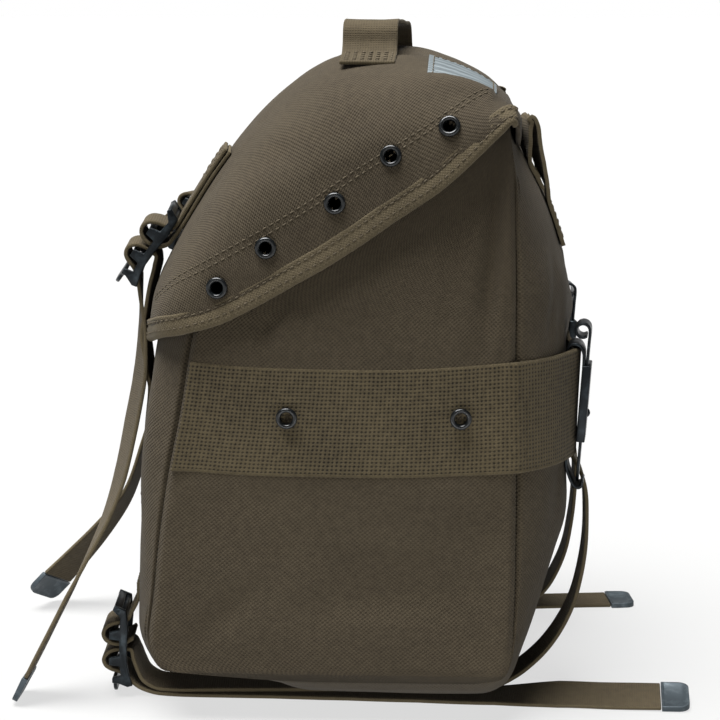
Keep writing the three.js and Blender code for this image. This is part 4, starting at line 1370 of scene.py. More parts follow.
@lru_cache(maxsize=None)
def lid_bow(station: float) -> tuple[tuple[float, ...], tuple[float, ...]]:
    """The right half of a section: lengths from its edge, and the share at each."""
    row = lid_section(station)
    samples = 120
    shares = tuple(math.sin(i / samples * math.pi / 2) ** (2 / row.fullness) for i in range(samples + 1))
    return tuple(running_lengths([lid_point(station, 1, share) for share in shares])), shares


def lid_reach(station: float, side: int, reach: float) -> Vector:
    """The lid's point at a distance from its edge, along the cloth."""
    lengths, shares = lid_bow(station)
    k = min(max(bisect_left(lengths, reach), 1), len(lengths) - 1)
    part = (reach - lengths[k - 1]) / max(1e-9, lengths[k] - lengths[k - 1])
    return lid_point(station, side, lerp(shares[k - 1], shares[k], min(1.0, max(0.0, part))))


class Spot(NamedTuple):
    """A place on a surface and the direction out of it."""

    point: Vector
    out: Vector


@lru_cache(maxsize=None)
def flap_spot(y: float, z: float) -> Spot:
    """The spot of the lid's right flap at a depth and a height."""
    best = (1e9, 0.0, 0.0)
    for level, (start, share_start, reach, share_reach) in enumerate(((7.5, 0.41, 5.5, 0.39), (0, 0, 0.3, 0.06))):
        middle = (start, share_start) if level == 0 else best[1:]
        for i in range(-20, 21):
            for k in range(-12, 13):
                station = min(LAST_STATION - 0.1, max(1.0, middle[0] + reach * i / 20))
                share = min(0.85, max(0.01, middle[1] + share_reach * k / 12))
                point = lid_point(station, 1, share)
                best = min(best, (math.hypot(point.y - y, point.z - z), station, share))
    _, station, share = best
    forward = lid_point(station + 0.05, 1, share) - lid_point(station - 0.05, 1, share)
    up = lid_point(station, 1, share + 0.01) - lid_point(station, 1, share - 0.01)
    return Spot(lid_point(station, 1, share), up.cross(forward).normalized())


def mirrored(spot: Spot, side: Side) -> Spot:
    """A spot of the right side on either side."""
    turn = Vector((side.value, 1, 1))
    return Spot(spot.point * turn, spot.out * turn)


@dataclass
class Eyelets:
    """Rolled black eyelets set into cloth."""

    outer: float = 4.9
    hole: float = 2.7
    lift: float = 0.35
    rise: float = 1.35
    depth: float = 1.9
    steps: int = 28

    def profile(self) -> list[tuple[float, float]]:
        """The eyelet's section from its rim into its hole: (radius, height)."""
        roll = (self.outer - self.hole) / 2
        rim = [(self.outer - 0.2, self.lift - 0.5)]
        for angle in (math.pi * i / 8 for i in range(9)):
            radius = self.hole + roll + roll * math.cos(angle)
            rim.append((radius, self.lift + self.rise * math.sin(angle) ** 0.8))
        return [*rim, (self.hole - 0.05, self.lift - 0.6), (self.hole - 0.1, -self.depth)]

    def build(self, kind: str, side: Side, spots: Sequence[Spot]) -> None:
        """Model a row of eyelets.

        Args:
            kind: What they are set into.
            side: The side of the bag.
            spots: Where they stand.
        """
        bm = bmesh.new()
        for spot in spots:
            verts = [bm.verts.new((radius, 0, height)) for radius, height in self.profile()]
            edges = [bm.edges.new(pair) for pair in zip(verts, verts[1:])]
            bmesh.ops.spin(
                bm,
                geom=verts + edges,
                cent=(0, 0, 0),
                axis=(0, 0, 1),
                angle=2 * math.pi,
                steps=self.steps,
                use_merge=True,
            )
            ring = [v for v in bm.verts if not v.tag]
            turn = Vector((0, 0, 1)).rotation_difference(spot.out).to_matrix().to_4x4()
            bmesh.ops.transform(bm, matrix=Matrix.Translation(spot.point) @ turn, verts=ring)
            for vert in ring:
                vert.tag = True
        bmesh.ops.remove_doubles(bm, verts=bm.verts[:], dist=0.01)
        bmesh.ops.recalc_face_normals(bm, faces=bm.faces[:])
        nodes = [f"{kind}_eyelet_{side.word}_{i + 1}" for i in range(len(spots))]
        thicken(make_piece(f"{kind}_eyelets_{side.word}", bm, ENAMEL, nodes), 0.3, -1)


@dataclass
class Lid:
    """The lid with its bound edge, facing stitches, eyelets, window and handle."""

    cells: tuple[int, int] = (168, 156)
    hem: float = 4.0
    hem_rows: int = 3
    lobe: float = 7.0
    binding_width: float = 9.0
    binding_lift: float = 1.0
    binding_rows: tuple[float, float] = (2.4, 6.6)
    binding_from: float = 0.4
    edge_steps: int = 420
    smoothing: int = 9
    corner_span: float = 3.2
    front_aim: tuple[float, float] = (0.35, 0.93)
    side_aim: tuple[float, float] = (0.5, 12.0)
    rumples: tuple[float, float] = (1.5, 0.5)
    tab_y: float = -70.0
    tab_half: tuple[float, float] = (14.0, 18.0)
    foot_half: tuple[float, float] = (10.0, 14.0)
    facing: float = 31.5
    facing_drop: float = 9.0
    facing_gap: float = 3.2
    facing_stations: tuple[float, float] = (2.9, LAST_STATION - 1.2)
    facing_steps: int = 120
    eyelets: tuple[tuple[float, float], ...] = (
        (42.9, 273.6), (17.2, 260.9), (-7.3, 240.2), (-37.9, 220.3), (-59.8, 202.4),
    )
    window_near: float = 104.0
    window_far: float = 66.0
    window_stations: tuple[float, float] = (2.6, 4.5)
    window_cells: tuple[int, int] = (36, 60)
    window_lift: float = 1.15
    window_ripple: float = 0.26
    window_seam: tuple[float, float] = (0.12, 2.5)
    handle_end: float = 88.0
    handle_foot: float = 72.0
    handle_top: float = 318.8
    handle_y: float = 7.5
    handle_lean: float = 2.5

    def spots(self, side: Side) -> list[Spot]:
        """The eyelets' places on one side flap."""
        return [mirrored(flap_spot(y, z), side) for y, z in self.eyelets]

    def build_cover(self) -> None:
        """Model the canvas of the lid."""
        columns, rows = self.cells
        stations = even_places(lambda at: lid_point(at, 1, 0.75), 0, LAST_STATION, rows)
        centres = [spot.point for side in Side for spot in self.spots(side)]

        def surface(u: float, v: float) -> Vector:
            """The lid's point: cells lie evenly from each edge to the crest, and the hem turns down at the back."""
            row = round(v * (rows + self.hem_rows))
            station = stations[max(0, row - self.hem_rows)]
            t = 2 * u - 1
            half = lid_bow(station)[0][-1]
            point = lid_reach(station, 1 if t >= 0 else -1, (1 - abs(t)) * half)
            below = max(0, self.hem_rows - row) / self.hem_rows
            point += self.corner_rise(station, step(0.5, 1, abs(t)))
            return point + Vector((0, -0.6, -self.hem)) * below * step(1, 0.85, abs(t))

        net = Net(columns, rows + self.hem_rows, surface)
        net.face_out(lambda p: Vector((p.x, p.y, p.z - 190)))
        net.lift(lambda point: self.rise(point, centres))
        cut = net.cut_size()
        net.punch(centres, 4.5)
        make_canvas("lid_cloth", net, "lid", cut)

    def corner_rise(self, station: float, share: float) -> Vector:
        """How far the lid's back corner stands up, at a station and a share of the way out to the edge."""
        return Vector((0, -1.0, self.lobe)) * step(2.4, 0, station) * share

    def rise(self, point: Vector, centres: Sequence[Vector]) -> float:
        """Folds and rumples, calm at the bound edge, under what is sewn on and at the eyelets."""
        spread = min((point - centre).length for centre in centres)
        edge = min(self.edge_gap(point), max(0.0, point.z - 172))
        calm = step(4, 20, edge) * (1 - self.covered(point))
        soft = folded(point, LID_FOLDS) + rumple(point, *self.rumples)
        return soft * calm * step(4, 12, spread) - 0.5 * math.exp(-((spread / 7) ** 2))

    def covered(self, point: Vector) -> float:
        """How far a tab or a foot of the handle covers the lid at a point, from 0 to 1."""
        across = abs(point.x)
        foot_x = (self.handle_end + self.handle_foot) / 2
        tab = max(abs(across - STRAP_X) - self.tab_half[0], abs(point.y - self.tab_y) - self.tab_half[1])
        foot = max(abs(across - foot_x) - self.foot_half[0], abs(point.y - self.handle_y) - self.foot_half[1])
        return step(PATCH_FADE, 0, min(tab, foot))

    def edge_gap(self, point: Vector) -> float:
        """Roughly how far a point of the side flap lies above the lid's free edge."""
        index = min(range(LAST_STATION), key=lambda i: abs(LID[i].edge_y - point.y))
        return max(0.0, point.z - LID[index].edge_z)

    def edge_point(self, at: float) -> Vector:
        """The free edge's point: stations down the right side, across the front, and up the left side."""
        if LAST_STATION < at < LAST_STATION + 2:
            return lid_at(LAST_STATION, lerp(LID[-1].edge_x, -LID[-1].edge_x, (at - LAST_STATION) / 2))
        station, side = (at, 1) if at <= LAST_STATION else (2 * LAST_STATION + 2 - at, -1)
        return lid_point(station, side, 0.0) + self.corner_rise(station, 1)

    def edge_normal(self, at: float, point: Vector, tangent: Vector) -> Vector:
        """The direction out of the lid at its free edge.

        Args:
            at: The place along the edge.
            point: The point there.
            tangent: The edge's direction there.

        Returns:
            The lid's own normal, or, on the front and near its corners, one by an aim further up the lid.
        """
        station = LAST_STATION + 1 - abs(at - LAST_STATION - 1)
        side = 1 if at < LAST_STATION + 1 else -1
        if station > LAST_STATION + 1 - self.corner_span:
            if station > LAST_STATION:
                back, inward = self.front_aim
                aim = lid_at(LAST_STATION - back, point.x * inward)
            else:
                back, reach = self.side_aim
                aim = lid_reach(station - back, side, reach)
            normal = (aim - point).cross(tangent)
            normal *= math.copysign(1, normal.dot(Vector((point.x, point.y, 0))))
        else:
            normal = lid_normal(station, side * (lid_section(station).edge_x - EDGE_INSET))
        return (normal - tangent * normal.dot(tangent)).normalized()

    def edge_line(self) -> tuple[list[Vector], list[Vector], list[Vector]]:
        """The lid's free edge from the right back corner round the front to the left one.

        Returns:
            Its points, the directions into the lid, and the outward normals.
        """
        last = self.edge_steps
        places = even_places(self.edge_point, self.binding_from, 2 * LAST_STATION + 2 - self.binding_from, last)
        points = [self.edge_point(at) for at in places]
        tangents = [(points[min(last, i + 1)] - points[max(0, i - 1)]).normalized() for i in range(last + 1)]
        normals = [self.edge_normal(*spot) for spot in zip(places, points, tangents)]
        inward = [tangent.cross(normal).normalized() for tangent, normal in zip(tangents, normals)]
        for _ in range(self.smoothing):
            normals, inward = self._smoothed(normals), self._smoothed(inward)
        return points, inward, normals

    @staticmethod
    def _smoothed(ways: Sequence[Vector]) -> list[Vector]:
        """Directions along a line, each mixed with those next to it."""
        last = len(ways) - 1
        return [(ways[max(0, i - 1)] + ways[i] * 2 + ways[min(last, i + 1)]).normalized() for i in range(last + 1)]

    def build_binding(self, stitching: Stitching) -> None:
        """Model the tape folded round the free edge, with its two rows of stitches."""
        points, inward, normals = self.edge_line()
        last = len(points) - 1
        width, lift = self.binding_width, self.binding_lift
        low = -CANVAS - lift
        profile = [(width, 0.15), (width - 0.4, lift), (self.binding_rows[1] + 1.2, lift + 0.25),
                   (self.binding_rows[1], lift - 0.3), (4.5, lift + 0.35), (self.binding_rows[0], lift - 0.1),
                   (0.6, lift + 0.1), (-0.6, lift * 0.5), (-1.1, -CANVAS / 2), (-0.6, low * 0.8), (0.8, low),
                   (width, low)]

        def surface(u: float, v: float) -> Vector:
            """The tape's point: its profile carried along the edge."""
            i = round(v * last)
            reach, rise = profile[round(u * (len(profile) - 1))]
            wave = 0.25 * noise.noise(points[i] / 9)
            return points[i] + inward[i] * (reach + wave) + normals[i] * rise

        net = Net(len(profile) - 1, last, surface)
        net.face_out(lambda p: Vector((p.x, p.y, p.z - 190)))
        tape = make_piece("lid_binding_tape", net.bm, TAPE, ["lid_binding"])
        thicken(tape, 0.35, -1)
        for reach in self.binding_rows:
            line = [p + i * reach + n * (lift + 0.2) for p, i, n in zip(points, inward, normals)]
            stitching.row(line, normals)

    def stitch_facing(self, stitching: Stitching) -> None:
        """Two rows of stitches above the eyelets, where the facing inside is sewn on."""
        centres = [spot.point for side in Side for spot in self.spots(side)]
        for side in Side:
            for reach in (self.facing, self.facing + self.facing_gap):
                points, normals = [], []
                for share in (i / self.facing_steps for i in range(self.facing_steps + 1)):
                    station = lerp(*self.facing_stations, share)
                    point = lid_reach(station, side.value, reach - self.facing_drop * share)
                    within = lid_section(station).edge_x - EDGE_INSET
                    normals.append(lid_normal(station, side.value * min(abs(point.x), within)))
                    points.append(point + normals[-1] * (self.rise(point, centres) + 0.12))
                stitching.row(points, normals)

    def build_window(self, stitching: Stitching) -> None:
        """Model the clear patch near the back of the lid's top."""
        first, last = self.window_stations

        def over(station: float, x: float, lift: float) -> Vector:
            """A point over the lid."""
            return lid_at(station, x) + lid_normal(station, x) * lift

        def surface(u: float, v: float) -> Vector:
            """The film's point, buckled in long ripples."""
            station, x = lerp(first, last, v), lerp(self.window_far, self.window_near, u)
            rim = min(u, 1 - u, v, 1 - v)
            wave = math.sin(u * 44 + 2 * noise.noise(Vector((u * 3, v * 3, 1)))) * step(0.03, 0.12, rim)
            return over(station, x, self.window_lift + self.window_ripple * wave)

        net = Net(*self.window_cells, surface)
        net.face_out(lambda p: Vector((0, 0, 1)))
        film = make_piece("label_window_film", net.bm, VINYL, ["label_window"])
        thicken(film, 0.5, 0)
        in_stations, in_x = self.window_seam
        near, far = self.window_near - in_x, self.window_far + in_x
        back, front = first + in_stations, last - in_stations
        corners = [(back, far), (back, near), (front, near), (front, far)]
        for (s0, x0), (s1, x1) in zip(corners, corners[1:] + corners[:1]):
            spots = [(lerp(s0, s1, i / 40), lerp(x0, x1, i / 40)) for i in range(41)]
            stitching.row([over(s, x, 1.5) for s, x in spots], [lid_normal(s, x) for s, x in spots])

    def top_z(self, x: float, y: float) -> float:
        """The height of the lid at a place across and a depth."""
        return lid_at(halving(lambda station: lid_at(station, x).y - y, 2, 9), x).z

    def build_handle(self, stitching: Stitching) -> None:
        """Model the webbing handle, sewn flat at both feet."""
        deep = lambda x: self.handle_y - self.handle_lean * x / self.handle_end
        on_lid = lambda x, above: (x, self.top_z(x, deep(x)) + SEWN_LAYER + above)
        foot, top = self.handle_foot, self.handle_top
        route = [
            on_lid(self.handle_end, EASE), on_lid(foot + 6, EASE), on_lid(foot, 1), (foot - 4.5, top - 10),
            (foot - 7, top - 3.5), (foot - 12, top - 0.6), (30, top), (-20, top - 1), (16 - foot, top - 2.4),
            (8 - foot, top - 6), (3 - foot, top - 11.5), on_lid(-foot - 1, 1), on_lid(-foot - 7, EASE),
            on_lid(-self.handle_end, EASE),
        ]
        places = [Place(Vector((x, deep(x), z)), Vector((0, 1, 0))) for x, z in route]
        ribbon = Ribbon(places, STRAP_WIDTH, 8)
        sag = lambda s, along: 0.5 * (1 - s * s) * math.sin(math.pi * along / ribbon.length) + 0.25 * noise.noise(
            Vector((s, along / 24, 3))
        )
        net = ribbon.net(8, sag)
        net.face_out(lambda p: Vector((p.x * 0.4, 0, 1)))
        make_webbing("handle_webbing", net, "handle")
        up = math.copysign(THREAD_LAYER, ribbon.out[0].z)
        for start, end in ((1.5, 15.5), (ribbon.length - 15.5, ribbon.length - 1.5)):
            stitching.sew(ribbon, up, [lerp(start, end, k / 4) for k in range(5)], SEAM_REACH, 0.9, BOTH_SEAMS)

    def build(self, stitching: Stitching) -> None:
        """Model the whole lid."""
        self.build_cover()
        self.build_binding(stitching)
        self.stitch_facing(stitching)
        self.build_window(stitching)
        self.build_handle(stitching)
        for side in Side:
            Eyelets().build("lid", side, self.spots(side))


@dataclass
class WebbingBand:
    """The wide webbing round both sides and the back."""

    shell: BodyShell
    low: float = 118.5
    high: float = 169.0
    thickness: float = 2.2
    front_margin: float = 1.2
    side_gap: float = 0.5
    back_gap: float = 3.0
    turn: float = 30.0
    clip_bow: tuple[float, float] = (2.2, 4.4)
    clip_x: float = 74.0
    clip_reach: float = 14.0
    seam_clear: float = 13.0
    sags: tuple[float, float] = (1.8, 3.4)
    sag_middle: float = -4.0
    sag_reach: float = 74.0
    eyelets: tuple[tuple[float, float], ...] = ((-29.0, 144.2), (48.6, 144.2))
    rows: int = 26
    steps: int = 13

    def share_up(self, z: float) -> float:
        """The share of the way from the band's lower edge to its upper one."""
        return (z - self.low) / (self.high - self.low)

    def sag(self, y: float, z: float) -> float:
        """How far the band sags between its sewn end and the back, more at its top."""
        return lerp(*self.sags, self.share_up(z)) * max(0.0, 1 - ((y - self.sag_middle) / self.sag_reach) ** 2)

    def half_path(self, side: Side, z: float) -> list[Vector]:
        """The path on the cloth from a front end to the middle of the back, at a height."""
        front, back = self.shell.panel_ends(z)
        sign = side.value
        path = []
        for share in (0, 0.06, 0.16, 0.34, 0.52, 0.7, 0.86, 0.97):
            y = lerp(front + self.front_margin, back, share)
            inside = min(max(y, front + self.seam_clear), back - self.seam_clear)
            x = max(self.shell.panel_x(y, z), self.shell.skin_x(side, inside, z) - 0.3)
            path.append(Vector((sign * (x + self.side_gap), y, z - self.sag(y, z))))
        for x in (HALF_WIDTH, 120.5, 114, 104, 91, 74, 50, 20):
            gap = lerp(self.side_gap, self.back_gap, min(1.0, (HALF_WIDTH - x) / self.turn))
            bow = lerp(*self.clip_bow, self.share_up(z))
            gap += bow * math.exp(-(((x - self.clip_x) / self.clip_reach) ** 2))
            out = Vector((0.5, 0.86, 0)) if x > 118 else Vector((0.12, 0.99, 0))
            path.append(Vector((sign * (x + out.x * gap), back_y(x, z) + out.y * gap, z)))
        return path

    def build(self) -> None:
        """Model the band and its eyelets."""
        heights = [lerp(self.low, self.high, i / self.rows) for i in range(self.rows + 1)]
        lines = []
        for z in heights:
            path = self.half_path(Side.RIGHT, z) + self.half_path(Side.LEFT, z)[::-1]
            spans = [(i, k / self.steps) for i in range(len(path) - 1) for k in range(self.steps)]
            lines.append([*(through(path, *span) for span in spans), path[-1]])
        count = len(lines[0]) - 1
        spots = [self.spot(y, z) for y, z in self.eyelets]
        centres = [mirrored(spot, side).point for side in Side for spot in spots]

        def surface(u: float, v: float) -> Vector:
            """The band's point, half its thickness out from the cloth."""
            r, c = round(u * self.rows), round(v * count)
            way = (lines[r][min(count, c + 1)] - lines[r][max(0, c - 1)]).normalized()
            out = way.cross(Vector((0, 0, -1)))
            drift = 0.5 * noise.noise(Vector((lines[r][c].x, lines[r][c].y, 0)) / 40)
            return lines[r][c] + out * (self.thickness / 2) + Vector((0, 0, drift))

        net = Net(self.rows, count, surface)
        net.face_out(lambda p: Vector((p.x, max(0.0, p.y), 0)))
        net.punch(centres, 4.4)
        band = make_piece("webbing_band_cloth", net.bm, BROAD_WEBBING, ["webbing_band"])
        thicken(band, self.thickness, 0, 0.6)
        for side in Side:
            Eyelets().build("band", side, [mirrored(spot, side) for spot in spots])

    def spot(self, y: float, z: float) -> Spot:
        """An eyelet's place on the right side of the band."""
        slope = self.shell.panel_x(y + 1, z) - self.shell.panel_x(y - 1, z)
        x = self.shell.skin_x(Side.RIGHT, y, z) + self.side_gap + self.thickness
        return Spot(Vector((x, y, z)), Vector((2, -slope, 0)).normalized())


@dataclass
class SuspenderLoops:
    """Webbing loops on the upper back."""

    x: float = 62.0

    def build(self, stitching: Stitching) -> None:
        """Model both loops: up the back, over, and down again behind the first layer."""
        on_back = lambda z, layers: (back_y(self.x, z) + SEWN_LAYER + layers * LAYER, z, 0)
        outer = [on_back(216, 0), on_back(228, 0), on_back(237, 0.15), on_back(243, 1.05)]
        inner = [on_back(254, 0.1), on_back(248, 0), on_back(242.5, 0)]
        for side in Side:
            route = [*outer, *LOOP_TOP[side], *inner]
            ribbon = Ribbon([turned(side, self.x, y, z, yaw) for y, z, yaw in route], STRAP_WIDTH, 7)
            net = ribbon.net(8, lambda s, along: 0.25 * noise.noise(Vector((s, along / 18, side.value))))
            net.face_out(lambda p: Vector((0, p.y - 80, p.z - 262)))
            make_webbing(f"suspender_loop_webbing_{side.word}", net, f"suspender_loop_{side.word}")
            up = math.copysign(THREAD_LAYER, ribbon.out[0].y)
            stitching.sew(ribbon, up, (2.0, 5.0, 17.0, 20.0), SEAM_REACH, 0.7, BOTH_SEAMS)


@dataclass
class Buckle:
    """A black double-bar buckle: two edge rails, three bars, a top lip and a tongue."""

    name: str
    y: float
    z: float
    along_y: float
    along_z: float
    roll: float
    inside: float = 13.4
    rail: float = 2.4
    bars: tuple[tuple[float, float, float], ...] = ((0.9, 2, 1.5), (11.4, 7.2, 1.6), (24.1, 7.5, 1.6))
    tongue: tuple[float, float, float, float] = (32.4, 41.0, 6.0, 7.8)
    tongue_root: float = 15.6
    tongue_tip: float = 9.0

    def axes(self, side: Side) -> tuple[Vector, Vector, Vector, Vector]:
        """The buckle's own directions.

        Args:
            side: The side of the bag.

        Returns:
            Its origin, and the directions along, out and across.
        """
        roll = side.value * math.radians(self.roll)
        along = Vector((0, self.along_y, self.along_z))
        upright = Vector((0, self.along_z, -self.along_y))
        out = upright * math.cos(roll) + Vector((math.sin(roll), 0, 0))
        return Vector((side.value * STRAP_X, self.y, self.z)), along, out, out.cross(along)

    def spot(self, side: Side, along: float, out: float) -> Place:
        """A place along the buckle and out from its back."""
        origin, way, up, across = self.axes(side)
        return Place(origin + way * along + up * out, across)

    def build(self, side: Side) -> None:
        """Model one buckle: local X across, Y along, Z out."""
        bm = bmesh.new()
        for x in (self.inside, -self.inside - self.rail):
            plate(bm, [(x, along, out) for along, out in RAIL_OUTLINE], (self.rail, 0, 0))
        for along, out, radius in self.bars:
            turn = Matrix.Translation((0, along, out)) @ Matrix.Rotation(math.pi / 2, 4, "Y")
            length = 2 * self.inside + 1.2
            bmesh.ops.create_cone(
                bm, cap_ends=True, segments=14, radius1=radius, radius2=radius, depth=length, matrix=turn
            )
        start, end, low, high = self.tongue
        root, tip = self.tongue_root, self.tongue_tip
        half = [(root, start), (root, start + 2.2), (tip + 1.2, end - 4.5), (tip, end - 2), (tip - 3, end)]
        outline = half + [(-x, y) for x, y in reversed(half)]
        plate(bm, [(x, y, low) for x, y in outline], (0, 0, high - low))
        wide = self.inside + self.rail
        lip = [(wide, -0.9, 6.9), (wide, -3.1, 5.9), (-wide, -3.1, 5.9), (-wide, -0.9, 6.9)]
        plate(bm, lip, (0, 1.6, -3.2))
        bmesh.ops.recalc_face_normals(bm, faces=bm.faces[:])
        origin, along, out, across = self.axes(side)
        place_mesh(bm, frame_of(-across, along, out, origin))
        bmesh.ops.recalc_face_normals(bm, faces=bm.faces[:])
        piece = make_piece(f"{self.name}_steel_{side.word}", bm, BLACK_OXIDE, [f"{self.name}_{side.word}"])
        soften(piece, 0.45, 2)


LID_BUCKLE = Buckle("lid_buckle", -83, 228.5, -0.584, -0.812, 4.8)
BASE_BUCKLE = Buckle("base_buckle", -109.5, 42, 0, -1, 3.5)


@dataclass
class BuckledStraps:
    """The lid's and the bottom's straps on one side, with their tabs, buckles and tips."""

    side: Side
    tip_length: float = 13.0
    tip_width: float = 26.0
    tip_thickness: float = 2.6
    tip_corner: float = 5.0
    seam: float = 10.6
    inner_seam: float = 7.6
    slant: float = 0.8

    def webbing(self, name: str, places: Sequence[Place], node: str) -> Ribbon:
        """Model one length of strap.

        Args:
            name: The piece's name.
            places: The route.
            node: The solid that it stands for.

        Returns:
            The route as a ribbon.
        """
        ribbon = Ribbon(places, STRAP_WIDTH, 5)
        wander = lambda s, along: 0.18 * noise.noise(Vector((s * 0.7, along / 21, 5 * self.side.value)))
        net = ribbon.net(8, wander)
        make_webbing(name, net, node)
        LOG.info("%s is %.0f mm long", name, ribbon.length)
        return ribbon

    def lid_tab(self, stitching: Stitching) -> None:
        """The folded webbing that holds the lid's buckle."""
        sign = self.side.value

        def on_lid(station: float, layer: float) -> Place:
            """A place on the lid."""
            point = lid_at(station, STRAP_X) + lid_normal(station, STRAP_X) * (SEWN_LAYER + layer * LAYER)
            across = lid_at(station, STRAP_X + 1) - lid_at(station, STRAP_X - 1)
            across = Vector((across.x, sign * across.y, sign * across.z)).normalized()
            return Place(Vector((sign * STRAP_X, point.y, point.z)), across)

        bar = lambda along, out: LID_BUCKLE.spot(self.side, along, out)
        places = [on_lid(9.05, 1), on_lid(9.4, 1), on_lid(9.75, 1), bar(-3.2, -0.2), bar(0.8, -0.6)]
        places += [bar(*spot) for spot in TAB_LOOP]
        places += [bar(12, -2.2), bar(7, -2.75), bar(0.8, -2.75), on_lid(9.75, 0), on_lid(9.4, 0), on_lid(9.05, 0)]
        ribbon = self.webbing(f"lid_tab_webbing_{self.side.word}", places, f"lid_tab_{self.side.word}")
        up = math.copysign(SEWN_LAYER, ribbon.out[0].z)
        seams = (-self.seam, -self.inner_seam, self.inner_seam, self.seam)
        stitching.sew(ribbon, up, (1.6, 4.2, 17.0), self.seam, self.slant, seams)

    def base_tab(self, stitching: Stitching) -> None:
        """The folded webbing that holds the bottom's buckle, sewn into the lower front."""
        bar = lambda along, out: BASE_BUCKLE.spot(self.side, along, out)
        sewn = lambda z: turned(self.side, STRAP_X, front_y(STRAP_X, z) - SEWN_LAYER, z, FRONT_YAW)
        places = [sewn(56), sewn(48), bar(0.6, -1.8), *(bar(*spot) for spot in TAB_LOOP), bar(13.6, -2.2)]
        ribbon = self.webbing(f"base_tab_webbing_{self.side.word}", places, f"base_tab_{self.side.word}")
        up = math.copysign(SEWN_LAYER, -ribbon.out[0].y)
        stitching.sew(ribbon, up, (1.6, 4.4, 7.2), self.seam, self.slant)

    def front_strap(self, stitching: Stitching) -> None:
        """The strap from the front through the lid's buckle, with its free end."""
        bar = lambda spot: LID_BUCKLE.spot(self.side, *spot)
        on_front = lambda z: turned(self.side, STRAP_X, front_y(STRAP_X, z) - SEWN_LAYER, z, FRONT_YAW)
        over = ((-98.2, 157), (-99.2, 166), (-100.3, 174), (-98.2, 185.5), (-95.9, 198), (-93.5, 207.5))
        places = [on_front(z) for z in (94, 112, 132, 150)]
        places += [turned(self.side, STRAP_X, y, z) for y, z in over]
        places += [bar(spot) for spot in STRAP_LOOP]
        places += self.free_end("front")
        ribbon = self.webbing(f"front_strap_webbing_{self.side.word}", places, f"front_strap_{self.side.word}")
        up = math.copysign(SEWN_LAYER, -ribbon.out[0].y)
        stitching.sew(ribbon, up, (1.6, 20.0), self.seam, self.slant, (-self.seam, self.seam))
        self.tip(places, f"front_strap_tip_{self.side.word}")

    def base_strap(self) -> None:
        """The strap from the back, under the bag and through the bottom's buckle, with its free end."""
        places = [turned(self.side, *spot) for spot in (*BASE_TOP, *BASE_BOW[self.side], *BASE_UNDER)]
        places += [BASE_BUCKLE.spot(self.side, *spot) for spot in STRAP_LOOP]
        places += self.free_end("base")
        self.webbing(f"base_strap_webbing_{self.side.word}", places, f"base_strap_{self.side.word}")
        self.tip(places, f"base_strap_tip_{self.side.word}")

    def free_end(self, kind: str) -> list[Place]:
        """The places of a free end."""
        return [turned(self.side, *row) for row in FREE_ENDS[kind, self.side]]

    def tip(self, places: Sequence[Place], node: str) -> None:
        """Model a folded metal tip in line with a strap's end.

        Args:
            places: The strap's route.
            node: The solid that it stands for.
        """
        end = places[-1]
        along = (end.point - places[-2].point).normalized()
        across = (end.across - along * end.across.dot(along)).normalized()
        out = across.cross(along)
        half, far, corner = self.tip_width / 2, self.tip_length, self.tip_corner
        arc = [(half - corner + corner * math.cos(a), far - corner + corner * math.sin(a))
               for a in (math.pi / 2 * k / 5 for k in range(6))]
        outline = [(half, 0), *arc, *((-x, y) for x, y in reversed(arc)), (-half, 0)]
        bm = bmesh.new()
        plate(bm, [(x, y, -self.tip_thickness / 2) for x, y in outline], (0, 0, self.tip_thickness))
        bmesh.ops.recalc_face_normals(bm, faces=bm.faces[:])
        flats = [f for f in bm.faces if abs(f.normal.z) > 0.9]
        bmesh.ops.inset_region(bm, faces=flats, thickness=1.3, depth=0.0)
        bmesh.ops.inset_region(bm, faces=flats, thickness=0.5, depth=-0.3)
        place_mesh(bm, frame_of(across, along, out, end.point + along * SEWN_GAP))
        bmesh.ops.recalc_face_normals(bm, faces=bm.faces[:])
        piece = make_piece(node.replace("_tip_", "_tip_cap_"), bm, PARKERISED, [node])
        soften(piece, 0.5, 2)

    def build(self, stitching: Stitching) -> None:
        """Model everything on this side."""
        self.lid_tab(stitching)
        LID_BUCKLE.build(self.side)
        self.front_strap(stitching)
        self.base_tab(stitching)
        BASE_BUCKLE.build(self.side)
        self.base_strap()


